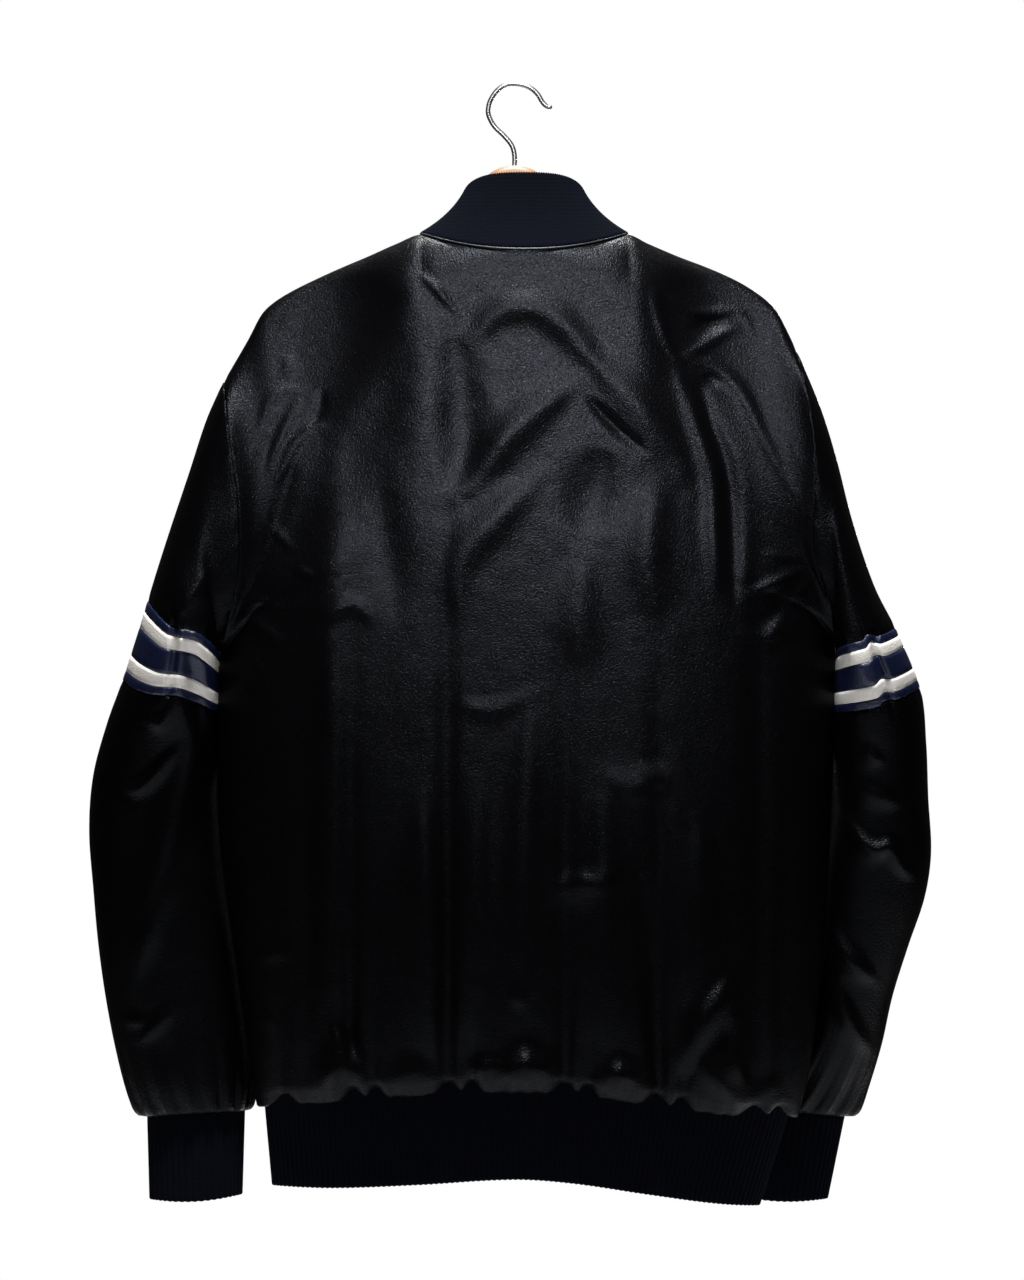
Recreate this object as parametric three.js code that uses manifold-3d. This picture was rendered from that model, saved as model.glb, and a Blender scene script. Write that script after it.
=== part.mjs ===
import * as THREE from 'three';
import Module from 'manifold-3d';
import { mergeVertices } from 'three/addons/utils/BufferGeometryUtils.js';

// A satin bomber jacket hanging on a wooden hanger with a wire hook.
// Millimetres, +Z up. The origin is the inner top of the hook, where it rests on what holds it.
// -Y is the garment's back and -X is the wearer's left.

// Cloth.
const satinWall = 1.6;
const ribWall = 2.4;
const seamGap = 0.3;
const ribHeight = 0.7;

// Neck opening: half width at the shoulder corners, reach to the back and to the front.
const neckHalfWidth = 85;
const neckReach = 50;
const neckCentreX = 8;
const neckCornerZ = -122;
const neckBackDrop = 14;
const neckFrontDrop = 68;
const neckRoundness = 2.2;
const neckSettle = 55;

// Collar: size of its top edge, and how far its sides draw in from a straight line.
const collarTopHalfWidth = 50;
const collarTopBack = 34;
const collarTopFront = 50;
const collarTopZ = { back: -74, front: -128 };
const collarWaist = 4;
const collarLift = 0.15;
const collarReach = 0.996;
const collarRibPitch = 4.6;
const collarRows = 2;

// Front closure.
const frontOverlap = 14;
const closureHalfWidth = 18;
const closureFade = 30;
const snapRadius = 7.5;
const snapCount = 7;
const firstSnapZ = -222;
const lastSnapZ = -792;

// Shoulder ridge over the hanger, and how far the armholes open.
const ridgeRadius = 9.5;
const shoulderFall = 300;
const armholeDepth = { back: 55, front: 50 };

// Knitted hem and cuffs.
const hemRibPitch = 4.8;
const hemDepth = { topBack: 47, topFront: 43, bottomBack: 41, bottomFront: 38 };
const hemCentreX = 6;
const hemReach = 0.998;
const cuffRibPitch = 4.8;
const cuffHalfDepth = 22;
const cuffSag = 3;

// Widths of the five bands on each sleeve, from the shoulder down.
const bands = [
  { name: 'navy_upper', width: 8, colour: 'navy' },
  { name: 'white_upper', width: 12.5, colour: 'white' },
  { name: 'navy_middle', width: 23, colour: 'navy' },
  { name: 'white_lower', width: 12.5, colour: 'white' },
  { name: 'navy_lower', width: 8, colour: 'navy' },
];

// Hanger.
const hangerThickness = 14;
const hangerReach = 200;
const hangerArmHeight = 24;
const hangerArmStart = 100;
const hangerTipStart = 186;
const hangerFootZ = -128;
const hangerFootFall = 62;
const hangerClearance = 1.6;
const hookWire = 4;
const boreLength = 40;
const seatGap = 0.4;

// Mesh steps.
const armholeSteps = 10;
const neckSteps = 5;
const shoulderSteps = 11;
const hangerSides = 12;
const wireSides = 8;
const wireSteps = 40;
const snapSides = 10;

// Outer edge of the body: z and x of the armhole seam and, below the armpit, of the side seam.
// Armpits are at the rows marked true.
const leftEdge = [
  { z: -244, x: -240 },
  { z: -301, x: -232 },
  { z: -342, x: -226 },
  { z: -391, x: -225 },
  { z: -418, x: -228.5 },
  { z: -441, x: -234 },
  { z: -469, x: -244, armpit: true },
  { z: -523, x: -246 },
  { z: -588, x: -246 },
  { z: -646, x: -241.5 },
  { z: -703, x: -234 },
  { z: -760, x: -226 },
  { z: -812, x: -219 },
  { z: -850, x: -212 },
];
const rightEdge = [
  { z: -219, x: 233 },
  { z: -260, x: 241 },
  { z: -301, x: 246 },
  { z: -342, x: 246 },
  { z: -382, x: 245 },
  { z: -412, x: 252 },
  { z: -434, x: 261 },
  { z: -459, x: 266, armpit: true },
  { z: -523, x: 265 },
  { z: -588, x: 263 },
  { z: -646, x: 260 },
  { z: -703, x: 257 },
  { z: -760, x: 251 },
  { z: -818, x: 243 },
  { z: -860, x: 232 },
];

// Ridge of the shoulders, from the neck corner to the top of the armhole.
const ridge = [
  { x: -240, z: -244 },
  { x: -220, z: -209 },
  { x: -209, z: -188 },
  { x: -199, z: -178 },
  { x: -184, z: -168.5 },
  { x: -165, z: -159 },
  { x: -143, z: -149 },
  { x: -120, z: -139.5 },
  { x: -97, z: -129.5 },
  { x: -77, z: -122 },
  { x: 93, z: -122 },
  { x: 110, z: -129.5 },
  { x: 134, z: -139.5 },
  { x: 159.5, z: -149 },
  { x: 182, z: -159 },
  { x: 198, z: -168.5 },
  { x: 210, z: -178 },
  { x: 218, z: -188 },
  { x: 233, z: -219 },
];

// Depth of the body down its length, t from 0 at the neck and shoulders to 1 at the hem seam.
// The last rows roll the satin under, onto the knitted hem.
const bodyDepth = [
  { t: 0.00, back: 70, front: 58 },
  { t: 0.16, back: 75, front: 61 },
  { t: 0.38, back: 80, front: 64 },
  { t: 0.60, back: 82, front: 67 },
  { t: 0.80, back: 81, front: 67 },
  { t: 0.92, back: 79, front: 66 },
  { t: 1.00, back: 74, front: 62 },
];
const armpitT = 0.38;
const belowArmpit = [0.43, 0.50, 0.58, 0.66, 0.74, 0.82, 0.89, 0.95];
const ridgeRowT = 0.01;
// How far each rolled row lies from the satin's side (0) to the hem's face (1), and its drop.
const rolledRows = [
  { tuck: 0.12, drop: 0.35 },
  { tuck: 0.45, drop: 1.0 },
  { tuck: 0.97, drop: 0.45 },
];

// Line of the hem seam and of the hem's lower edge, across the garment.
const hemLine = [
  { x: -206, seam: -829, foot: -905 },
  { x: -150, seam: -824, foot: -906 },
  { x: -80, seam: -818, foot: -903 },
  { x: 0, seam: -815, foot: -898.5 },
  { x: 50, seam: -818, foot: -902 },
  { x: 110, seam: -826, foot: -911 },
  { x: 175, seam: -835, foot: -920 },
  { x: 232, seam: -838, foot: -923 },
];
const hemEnds = { topLeft: -206, topRight: 229, footLeft: -199, footRight: 202 };

// Gathers at the hem: place, half width, depth into the body and reach up the body.
// A side of -1 is the back and 1 the front.
const gathers = [
  { side: -1, x: -182, width: 9, depth: 5, reach: 90 },
  { side: -1, x: -140, width: 10, depth: 9, reach: 190 },
  { side: -1, x: -104, width: 9, depth: 6, reach: 110 },
  { side: -1, x: -56, width: 9, depth: 10, reach: 260 },
  { side: -1, x: -20, width: 9, depth: 7, reach: 110 },
  { side: -1, x: 44, width: 10, depth: 8, reach: 200 },
  { side: -1, x: 72, width: 9, depth: 5, reach: 90 },
  { side: -1, x: 113, width: 10, depth: 9, reach: 180 },
  { side: -1, x: 150, width: 9, depth: 6, reach: 100 },
  { side: -1, x: 184, width: 10, depth: 10, reach: 330 },
  { side: -1, x: 214, width: 8, depth: 5, reach: 120 },
  { side: 1, x: -176, width: 10, depth: 7, reach: 160 },
  { side: 1, x: -132, width: 10, depth: 8, reach: 240 },
  { side: 1, x: -92, width: 10, depth: 5, reach: 110 },
  { side: 1, x: -54, width: 9, depth: 7, reach: 200 },
  { side: 1, x: 60, width: 10, depth: 8, reach: 220 },
  { side: 1, x: 104, width: 10, depth: 6, reach: 130 },
  { side: 1, x: 146, width: 10, depth: 8, reach: 260 },
  { side: 1, x: 192, width: 10, depth: 7, reach: 170 },
];
const bellyDrop = 13;
const hemClearance = ribHeight + 0.8;

// The largest folds, each a soft ridge, or a trough where its height is negative.
// Each lies along the line through its points, given as x, z.
const folds = [
  { side: -1, line: [[-94, -160], [-100, -205], [-146, -268]], width: 15, height: 6 },
  { side: -1, line: [[-150, -300], [-140, -380], [-118, -500]], width: 24, height: 6 },
  { side: -1, line: [[-40, -212], [8, -182], [66, -222], [114, -287], [142, -316]], width: 16, height: 5 },
  { side: -1, line: [[45, -236], [-18, -314], [-46, -440]], width: 20, height: 6 },
  { side: -1, line: [[64, -262], [108, -304]], width: 14, height: -5 },
  { side: -1, line: [[114, -176], [134, -232], [150, -290], [160, -363], [164, -440]], width: 15, height: 7 },
  { side: -1, line: [[150, -246], [170, -294], [184, -363], [180, -432]], width: 14, height: -8 },
  { side: -1, line: [[138, -226], [186, -250], [214, -310], [238, -372]], width: 14, height: 5 },
  { side: -1, line: [[188, -424], [240, -398]], width: 13, height: 6 },
  { side: -1, line: [[-174, -250], [-203, -272], [-213, -330]], width: 13, height: 6 },
  { side: -1, line: [[-206, -320], [-211, -380]], width: 12, height: -5 },
  { side: -1, line: [[-202, -333], [-174, -288], [-148, -290]], width: 12, height: 4 },
  { side: -1, line: [[-164, -440], [-131, -428], [-112, -446]], width: 13, height: 5 },
  { side: -1, line: [[-150, -470], [-148, -640], [-150, -770]], width: 17, height: 5 },
  { side: -1, line: [[-72, -600], [-70, -760]], width: 16, height: 5 },
  { side: -1, line: [[12, -520], [8, -660], [4, -780]], width: 16, height: 5 },
  { side: -1, line: [[78, -570], [84, -700], [80, -800]], width: 17, height: 5 },
  { side: -1, line: [[150, -600], [154, -700], [150, -790]], width: 16, height: 6 },
  { side: 1, line: [[-120, -190], [-140, -260], [-150, -360]], width: 18, height: 6 },
  { side: 1, line: [[-222, -400], [-160, -420], [-110, -450]], width: 15, height: 6 },
  { side: 1, line: [[-110, -420], [-108, -560], [-112, -740]], width: 18, height: 6 },
  { side: 1, line: [[130, -190], [146, -280], [156, -380]], width: 18, height: 6 },
  { side: 1, line: [[238, -390], [176, -416], [120, -440]], width: 15, height: 6 },
  { side: 1, line: [[124, -430], [126, -560], [124, -750]], width: 18, height: 6 },
  { side: -1, line: [[-255, -520], [-285, -570], [-300, -610]], width: 13, height: 6 },
  { side: -1, line: [[-318, -612], [-290, -560]], width: 12, height: -4 },
  { side: -1, line: [[-262, -640], [-296, -690], [-312, -740]], width: 14, height: 6 },
  { side: -1, line: [[-300, -790], [-276, -755]], width: 12, height: 4 },
  { side: -1, line: [[265, -580], [290, -618], [322, -622], [338, -640]], width: 13, height: 6 },
  { side: -1, line: [[258, -680], [272, -720], [300, -745]], width: 13, height: 6 },
  { side: -1, line: [[268, -748], [284, -782], [300, -800]], width: 12, height: 5 },
  { side: 1, line: [[-262, -560], [-300, -610], [-322, -660]], width: 15, height: 6 },
  { side: 1, line: [[-300, -720], [-262, -760]], width: 13, height: 5 },
  { side: 1, line: [[276, -570], [302, -612], [326, -650]], width: 15, height: 6 },
  { side: 1, line: [[262, -740], [292, -770]], width: 13, height: 5 },
];

// Sections of the sleeves: outer and inner end of each, its middle in depth and its half depth.
const leftSleeve = [
  { outX: -254, outZ: -275, inX: -246.5, inZ: -474, y: 2, half: 59 },
  { outX: -268.5, outZ: -319, inX: -248.5, inZ: -479, y: 4, half: 63 },
  { outX: -284, outZ: -365, inX: -250, inZ: -484, y: 7, half: 67 },
  { outX: -296, outZ: -402, inX: -251, inZ: -488, y: 10, half: 70 },
  { outX: -303, outZ: -425, inX: -251, inZ: -492, y: 12, half: 71, bandTop: true },
  { outX: -323, outZ: -487, inX: -249, inZ: -526, y: 20, half: 66, bandFoot: true },
  { outX: -337, outZ: -525, inX: -247, inZ: -550, y: 27, half: 60 },
  { outX: -349, outZ: -569, inX: -243, inZ: -584, y: 32, half: 54 },
  { outX: -352.5, outZ: -615, inX: -240, inZ: -625, y: 35, half: 51 },
  { outX: -349, outZ: -664, inX: -235, inZ: -668, y: 35, half: 50 },
  { outX: -345, outZ: -708, inX: -228, inZ: -709, y: 34, half: 49 },
  { outX: -339, outZ: -752, inX: -222, inZ: -750, y: 35, half: 48 },
  { outX: -331, outZ: -793, inX: -216, inZ: -789, y: 35, half: 46 },
  { outX: -321, outZ: -828, inX: -214, inZ: -824, y: 32, half: 42 },
  { outX: -311, outZ: -849, inX: -217, inZ: -844, y: 28, half: 33 },
  { outX: -304.6, outZ: -852, inX: -221.8, inZ: -847, y: 25, half: 24.8 },
];
const rightSleeve = [
  { outX: 252, outZ: -264, inX: 268.5, inZ: -464, y: 2, half: 59 },
  { outX: 265, outZ: -305, inX: 270.5, inZ: -469, y: 4, half: 63 },
  { outX: 279, outZ: -359, inX: 272, inZ: -474, y: 7, half: 67 },
  { outX: 297, outZ: -412, inX: 273, inZ: -479, y: 10, half: 70 },
  { outX: 314.5, outZ: -447, inX: 273, inZ: -484, y: 12, half: 71, bandTop: true },
  { outX: 336, outZ: -499, inX: 271, inZ: -522, y: 20, half: 68, bandFoot: true },
  { outX: 341, outZ: -543, inX: 267, inZ: -557, y: 28, half: 64 },
  { outX: 343, outZ: -588, inX: 261, inZ: -596, y: 34, half: 60 },
  { outX: 345.5, outZ: -633, inX: 256, inZ: -638, y: 38, half: 57 },
  { outX: 340.5, outZ: -670, inX: 252, inZ: -673, y: 43, half: 54 },
  { outX: 327, outZ: -711, inX: 247, inZ: -709, y: 48, half: 52 },
  { outX: 314.5, outZ: -752, inX: 239, inZ: -747, y: 55, half: 50 },
  { outX: 305.5, outZ: -793, inX: 226, inZ: -787, y: 62, half: 47 },
  { outX: 294, outZ: -829, inX: 204, inZ: -824, y: 69, half: 42 },
  { outX: 284, outZ: -851, inX: 185, inZ: -845, y: 68, half: 33 },
  { outX: 276, outZ: -854, inX: 188.8, inZ: -848, y: 66, half: 24.6 },
];

// Cuffs: ends of the upper and lower edges.
const leftCuff = {
  top: { outX: -303, outZ: -849, inX: -224, inZ: -844, y: 25 },
  foot: { outX: -301, outZ: -918, inX: -226, inZ: -914, y: 22 },
};
const rightCuff = {
  top: { outX: 274.3, outZ: -851, inX: 191, inZ: -845, y: 66 },
  foot: { outX: 260, outZ: -920, inX: 183, inZ: -917, y: 62 },
};

// Middle line of the hook, from the wood to the tip.
const hookPoints = [
  [0, -80], [0, -68], [0, -57], [-2.2, -49], [-8.4, -41.2], [-16.5, -33.2], [-21, -25], [-21.7, -19.5],
  [-19.9, -12], [-14.8, -4.2], [-8.2, 0.6], [0, 2], [7.2, 0.9], [14, -2], [19.4, -7],
  [23, -13], [26.4, -16.4], [31.2, -17.9],
];

// Upper edge of the hanger where it rises through the collar, for one side.
const hangerHump = [
  { x: 0, z: -64.7 },
  { x: 12, z: -67.4 },
  { x: 23, z: -74 },
  { x: 31, z: -83.5 },
  { x: 38, z: -94 },
  { x: 48, z: -107 },
  { x: 60, z: -118.5 },
  { x: 77, z: -128 },
];

const finishes = {
  satin: { color: '#15161c', roughness: 0.45, metalness: 0 },
  rib: { color: '#11151c', roughness: 0.9, metalness: 0 },
  navy: { color: '#10172e', roughness: 0.5, metalness: 0 },
  white: { color: '#d9d6d0', roughness: 0.5, metalness: 0 },
  snap: { color: '#14151a', roughness: 0.35, metalness: 0.2 },
  maple: { color: '#d9b98c', roughness: 0.5, metalness: 0 },
  steel: { color: '#b9bcc0', roughness: 0.25, metalness: 1 },
};

const clamp01 = (v) => Math.min(Math.max(v, 0), 1);
const mix = (a, b, w) => a + (b - a) * w;
const ease = (v) => clamp01(v) ** 2 * (3 - 2 * clamp01(v));

// Smooth value of one column of a table, read at a place in its key column.
function read(table, key, column, place) {
  const direction = Math.sign(table[table.length - 1][key] - table[0][key]);
  let i = 0;
  while (i < table.length - 2 && (place - table[i + 1][key]) * direction > 0) i += 1;
  const [a, b] = [table[i], table[i + 1]];
  const before = table[Math.max(i - 1, 0)];
  const after = table[Math.min(i + 2, table.length - 1)];
  const span = b[key] - a[key];
  const w = clamp01((place - a[key]) / span);
  const slopeA = (b[column] - before[column]) / (b[key] - before[key]) * span;
  const slopeB = (after[column] - a[column]) / (after[key] - a[key]) * span;
  const w2 = w * w;
  const w3 = w2 * w;
  return (2 * w3 - 3 * w2 + 1) * a[column] + (w3 - 2 * w2 + w) * slopeA
    + (3 * w2 - 2 * w3) * b[column] + (w3 - w2) * slopeB;
}

// Height of the folds at a place on the side that faces back (-1) or front (1).
function foldHeight(side, x, z) {
  let height = 0;
  for (const fold of folds) {
    if (fold.side !== side) continue;
    let nearest = Infinity;
    let place = 0;
    const count = fold.line.length - 1;
    for (let k = 0; k < count; k += 1) {
      const [ax, az] = fold.line[k];
      const [bx, bz] = fold.line[k + 1];
      const length2 = (bx - ax) ** 2 + (bz - az) ** 2;
      const w = clamp01(((x - ax) * (bx - ax) + (z - az) * (bz - az)) / length2);
      const distance = Math.hypot(x - mix(ax, bx, w), z - mix(az, bz, w));
      if (distance < nearest) {
        nearest = distance;
        place = (k + w) / count;
      }
    }
    const taper = 0.35 + 0.65 * Math.sin(Math.PI * place);
    height += fold.height * taper * Math.exp(-((nearest / fold.width) ** 2));
  }
  return height;
}

// Depth of the gathers at a place, and how far they pinch the roll over the hem (0 to 1).
function gatherAt(side, x, rise) {
  let depth = 0;
  let pinch = 0;
  for (const gather of gathers) {
    if (gather.side !== side) continue;
    const near = Math.exp(-(((x - gather.x) / gather.width) ** 2));
    depth += gather.depth * near * Math.exp(-((Math.max(rise, 0) / gather.reach) ** 1.5));
    pinch = Math.max(pinch, near);
  }
  return { depth, pinch };
}

const armpitZ = { '-1': leftEdge.find((row) => row.armpit).z, 1: rightEdge.find((row) => row.armpit).z };
const shoulderZ = { '-1': leftEdge[0].z, 1: rightEdge[0].z };
const edgeX = (hand, z) => read(hand < 0 ? leftEdge : rightEdge, 'z', 'x', z);

// Height of the body's edge at row i: round the armhole, then down the side seam.
const rows = [
  0,
  ...Array.from({ length: armholeSteps }, (_, i) => mix(ridgeRowT, armpitT, i / (armholeSteps - 1))),
  ...belowArmpit,
];
function edgeZ(hand, i, hemZ) {
  if (i <= armholeSteps) {
    const w = (1 - Math.cos(Math.PI * i / armholeSteps)) / 2;
    return mix(shoulderZ[hand], armpitZ[hand], w);
  }
  return mix(armpitZ[hand], hemZ, (rows[i] - armpitT) / (1 - armpitT));
}

// Shape across a section: 1 in the middle and 0 at the sides, square-shouldered or rounded.
const squareArc = (s) => Math.max(1 - Math.abs(s) ** 3, 0) ** 0.556;
const softArc = (s) => 1 - Math.abs(s) ** 2.5;

// Hem's face: half widths and depths at a height w from its seam (0) to its foot (1).
function hemSection(w) {
  return {
    left: mix(hemEnds.topLeft, hemEnds.footLeft, w),
    right: mix(hemEnds.topRight, hemEnds.footRight, w),
    back: mix(hemDepth.topBack, hemDepth.bottomBack, w),
    front: mix(hemDepth.topFront, hemDepth.bottomFront, w),
  };
}
const middleX = (t) => mix(neckCentreX, hemCentreX, clamp01(t));

// A point of the body's outer face. side is -1 on the back and 1 on the front, s runs from -1 at
// the left edge to 1 at the right edge, and i is the row.
function bodyPoint(side, s, i) {
  const hand = s < 0 ? -1 : 1;
  const reach = Math.abs(s);
  const rolled = i >= rows.length ? rolledRows[i - rows.length] : null;
  const t = rolled ? 1 : rows[i];
  const topEdge = edgeX(hand, shoulderZ[hand]);
  const neckS = neckHalfWidth / Math.abs(topEdge - neckCentreX);
  const inNeck = reach < neckS;
  const neckPlace = reach / neckS;
  const topX = mix(neckCentreX, topEdge, reach);
  const neckDrop = (side < 0 ? neckBackDrop : neckFrontDrop)
    * (1 - Math.min(neckPlace, 1) ** neckRoundness);
  const topZ = inNeck ? neckCornerZ - neckDrop : read(ridge, 'x', 'z', topX);
  const neckArc = inNeck ? Math.sqrt(1 - neckPlace ** 2) : 0;

  const hem = hemSection(0.05);
  const hemX = mix(hemCentreX, hand < 0 ? hem.left : hem.right, reach);
  const seamZ = read(hemLine, 'x', 'seam', hemX);
  const edgeSeamZ = read(hemLine, 'x', 'seam', hand < 0 ? hem.left : hem.right);
  const shoulderLineZ = shoulderZ[hand];
  const thisEdgeZ = rolled ? edgeSeamZ : edgeZ(hand, i, edgeSeamZ);
  const pull = reach ** 4;
  let z = mix(topZ, seamZ, t) + (thisEdgeZ - mix(shoulderLineZ, edgeSeamZ, t)) * pull;
  const half = edgeX(hand, thisEdgeZ) - middleX(t);
  let x = middleX(t) + half * reach;

  const column = side < 0 ? 'back' : 'front';
  const full = read(bodyDepth, 't', column, t);
  const armhole = i < armholeSteps ? Math.sin(Math.PI * i / armholeSteps) : 0;
  const edgeDepth = armhole * armholeDepth[column];
  const open = i < armholeSteps ? ease((armholeSteps - i) / 3) : 0;
  const arc = mix(squareArc(s), softArc(s), open);
  const sectionDepth = edgeDepth + (full - edgeDepth) * arc;
  const fall = topZ - z;
  const spread = 1 - (1 - clamp01(fall / shoulderFall)) ** 2;
  const round = ridgeRadius * Math.sqrt(1 - (1 - clamp01(fall / ridgeRadius)) ** 2);
  const rounding = round / Math.max(sectionDepth, ridgeRadius) * (1 - neckArc);
  const share = 1 - (1 - spread) * (1 - rounding);
  // The neckline's curve, which eases into a soft swell below it.
  const swell = Math.exp(-1.2 * neckPlace ** 2);
  const topY = neckReach * mix(neckArc, swell, ease(fall / neckSettle));
  const edgeFall = shoulderLineZ - thisEdgeZ;
  const edgeSpread = 1 - (1 - clamp01(edgeFall / shoulderFall)) ** 2;
  let depth = topY + (sectionDepth - topY) * share + edgeDepth * (1 - edgeSpread) * reach ** 10;

  const rise = z - seamZ;
  const fade = arc * ease(fall / 40);
  const gather = gatherAt(side, x, rise);
  const fromClosure = Math.abs(x - middleX(t)) - closureHalfWidth;
  const closureCalm = side > 0 ? ease(fromClosure / closureFade) : 1;
  depth += (foldHeight(side, x, z) - gather.depth) * fade * closureCalm;
  if (rolled) {
    const face = (side < 0 ? hem.back : hem.front) * squareArc(s) + hemClearance * squareArc(s);
    const flat = 1 - 0.75 * gather.pinch;
    depth = mix(depth, face, rolled.tuck);
    x = mix(x, hemX + hand * hemClearance * 1.5 * reach ** 6, rolled.tuck);
    z = seamZ - bellyDrop * rolled.drop * flat;
  }
  const seamShift = i > armholeSteps || !inNeck ? seamGap / 2 : 0;
  return new THREE.Vector3(x, side * (depth + seamShift), z);
}

// Places across a panel, from the middle out to the edge, closer together near the edge.
function places(hand) {
  const neckS = neckHalfWidth / Math.abs(edgeX(hand, shoulderZ[hand]) - neckCentreX);
  const inNeck = Array.from({ length: neckSteps }, (_, k) => (
    neckS * Math.sin(Math.PI / 2 * k / neckSteps)));
  const beyond = Array.from({ length: shoulderSteps + 1 }, (_, k) => {
    const w = k / shoulderSteps;
    return mix(neckS, 1, w + 0.12 * Math.sin(Math.PI * w));
  });
  return [...inNeck, ...beyond].map((s) => hand * s);
}

// Outward directions of a grid of points: rows run down and columns to the right, seen from outside.
function directions(grid, closed) {
  const last = grid.length - 1;
  return grid.map((row, i) => row.map((_, j) => {
    const n = row.length;
    const before = closed ? (j - 1 + n) % n : Math.max(j - 1, 0);
    const after = closed ? (j + 1) % n : Math.min(j + 1, n - 1);
    const down = grid[Math.min(i + 1, last)][j].clone().sub(grid[Math.max(i - 1, 0)][j]);
    const along = row[after].clone().sub(row[before]);
    return down.cross(along).normalize();
  }));
}

function geometryFrom(points, triangles) {
  const geometry = new THREE.BufferGeometry();
  const numbers = points.flatMap((p) => [p.x, p.y, p.z]);
  geometry.setAttribute('position', new THREE.Float32BufferAttribute(numbers, 3));
  geometry.setIndex(triangles);
  geometry.computeVertexNormals();
  return geometry;
}

// A cloth wall: the grid is its outer face, and the directions give its thickness.
function wallGeometry(grid, outward, thickness, closed) {
  const height = grid.length;
  const width = grid[0].length;
  const outer = grid.flat();
  const inner = grid.flatMap((row, i) => row.map((p, j) => (
    p.clone().addScaledVector(outward[i][j], -thickness))));
  const points = [...outer, ...inner];
  const o = (i, j) => i * width + j % width;
  const n = (i, j) => outer.length + o(i, j);
  const triangles = [];
  const quad = (a, b, c, d) => {
    const firstShorter = points[a].distanceTo(points[c]) <= points[b].distanceTo(points[d]);
    triangles.push(...(firstShorter ? [a, b, c, a, c, d] : [a, b, d, b, c, d]));
  };
  const across = closed ? width : width - 1;
  for (let i = 0; i < height - 1; i += 1) {
    for (let j = 0; j < across; j += 1) {
      quad(o(i, j), o(i + 1, j), o(i + 1, j + 1), o(i, j + 1));
      quad(n(i, j), n(i, j + 1), n(i + 1, j + 1), n(i + 1, j));
    }
    if (!closed) {
      quad(o(i + 1, 0), o(i, 0), n(i, 0), n(i + 1, 0));
      quad(o(i, width - 1), o(i + 1, width - 1), n(i + 1, width - 1), n(i, width - 1));
    }
  }
  for (let j = 0; j < across; j += 1) {
    quad(o(0, j), o(0, j + 1), n(0, j + 1), n(0, j));
    quad(o(height - 1, j + 1), o(height - 1, j), n(height - 1, j), n(height - 1, j + 1));
  }
  return geometryFrom(points, triangles);
}

// A ribbed knit band. at(u, v) is a point of its outer face between the ribs, u runs round it and
// v down it. Its inner face is plain and has fewer columns.
// footOutward(u), if given, is the direction of the wall's thickness at its lowest row.
function ribGeometry({ at, ribs, rowCount, closed, footOutward }) {
  const outerCount = ribs * 2;
  const innerCount = Math.ceil(ribs / 3);
  const points = [];
  const layer = (count, offset) => {
    const columns = closed ? count : count + 1;
    const start = points.length;
    for (let i = 0; i <= rowCount; i += 1) {
      for (let j = 0; j < columns; j += 1) {
        const u = j / count;
        const v = i / rowCount;
        const step = 0.004;
        const left = at(Math.max(u - step, closed ? -1 : 0), v);
        const right = at(closed ? u + step : Math.min(u + step, 1), v);
        const up = at(u, Math.max(v - step, 0));
        const down = at(u, Math.min(v + step, 1));
        const outward = footOutward && i === rowCount
          ? footOutward(u)
          : down.sub(up).cross(right.sub(left)).normalize();
        points.push(at(u, v).addScaledVector(outward, offset(j)));
      }
    }
    return (i, j) => start + i * columns + j % columns;
  };
  const outer = layer(outerCount, (j) => (j % 2 ? ribHeight : 0));
  const inner = layer(innerCount, () => -ribWall);
  const triangles = [];
  const sheet = (index, count, outward) => {
    for (let i = 0; i < rowCount; i += 1) {
      for (let j = 0; j < count; j += 1) {
        const corners = [index(i, j), index(i + 1, j), index(i + 1, j + 1), index(i, j + 1)];
        if (!outward) corners.reverse();
        const [a, b, c, d] = corners;
        triangles.push(a, b, c, a, c, d);
      }
    }
  };
  sheet(outer, outerCount, true);
  sheet(inner, innerCount, false);
  const rim = (i, facingUp) => {
    const add = (a, b, c) => triangles.push(...(facingUp ? [a, b, c] : [a, c, b]));
    let j = 0;
    for (let k = 0; k < outerCount; k += 1) {
      add(outer(i, k), outer(i, k + 1), inner(i, j));
      if ((k + 1) / outerCount >= (j + 0.5) / innerCount && j < innerCount) {
        add(outer(i, k + 1), inner(i, j + 1), inner(i, j));
        j += 1;
      }
    }
  };
  rim(0, true);
  rim(rowCount, false);
  if (!closed) {
    for (let i = 0; i < rowCount; i += 1) {
      const ends = [[0, 0, false], [outerCount, innerCount, true]];
      for (const [k, j, rightEnd] of ends) {
        const corners = [outer(i, k), outer(i + 1, k), inner(i + 1, j), inner(i, j)];
        if (!rightEnd) corners.reverse();
        const [a, b, c, d] = corners;
        triangles.push(a, b, c, a, c, d);
      }
    }
  }
  return geometryFrom(points, triangles);
}

const jacket = new THREE.Group();
function addPiece(name, geometry, finish) {
  const piece = new THREE.Mesh(geometry, new THREE.MeshStandardMaterial(finishes[finish]));
  piece.name = name;
  jacket.add(piece);
  return piece;
}

// Body panels as grids of points.
const rowCount = rows.length + rolledRows.length;
const allRows = Array.from({ length: rowCount }, (_, i) => i);
const leftPlaces = places(-1);
const rightPlaces = places(1);
const overlapPlace = (hand) => (
  -hand * frontOverlap / Math.abs(edgeX(-hand, shoulderZ[-hand]) - neckCentreX));

const backPlaces = [...leftPlaces.slice(1).reverse(), ...rightPlaces];
const backGrid = allRows.map((i) => backPlaces.map((s) => bodyPoint(-1, s, i)));

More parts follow.
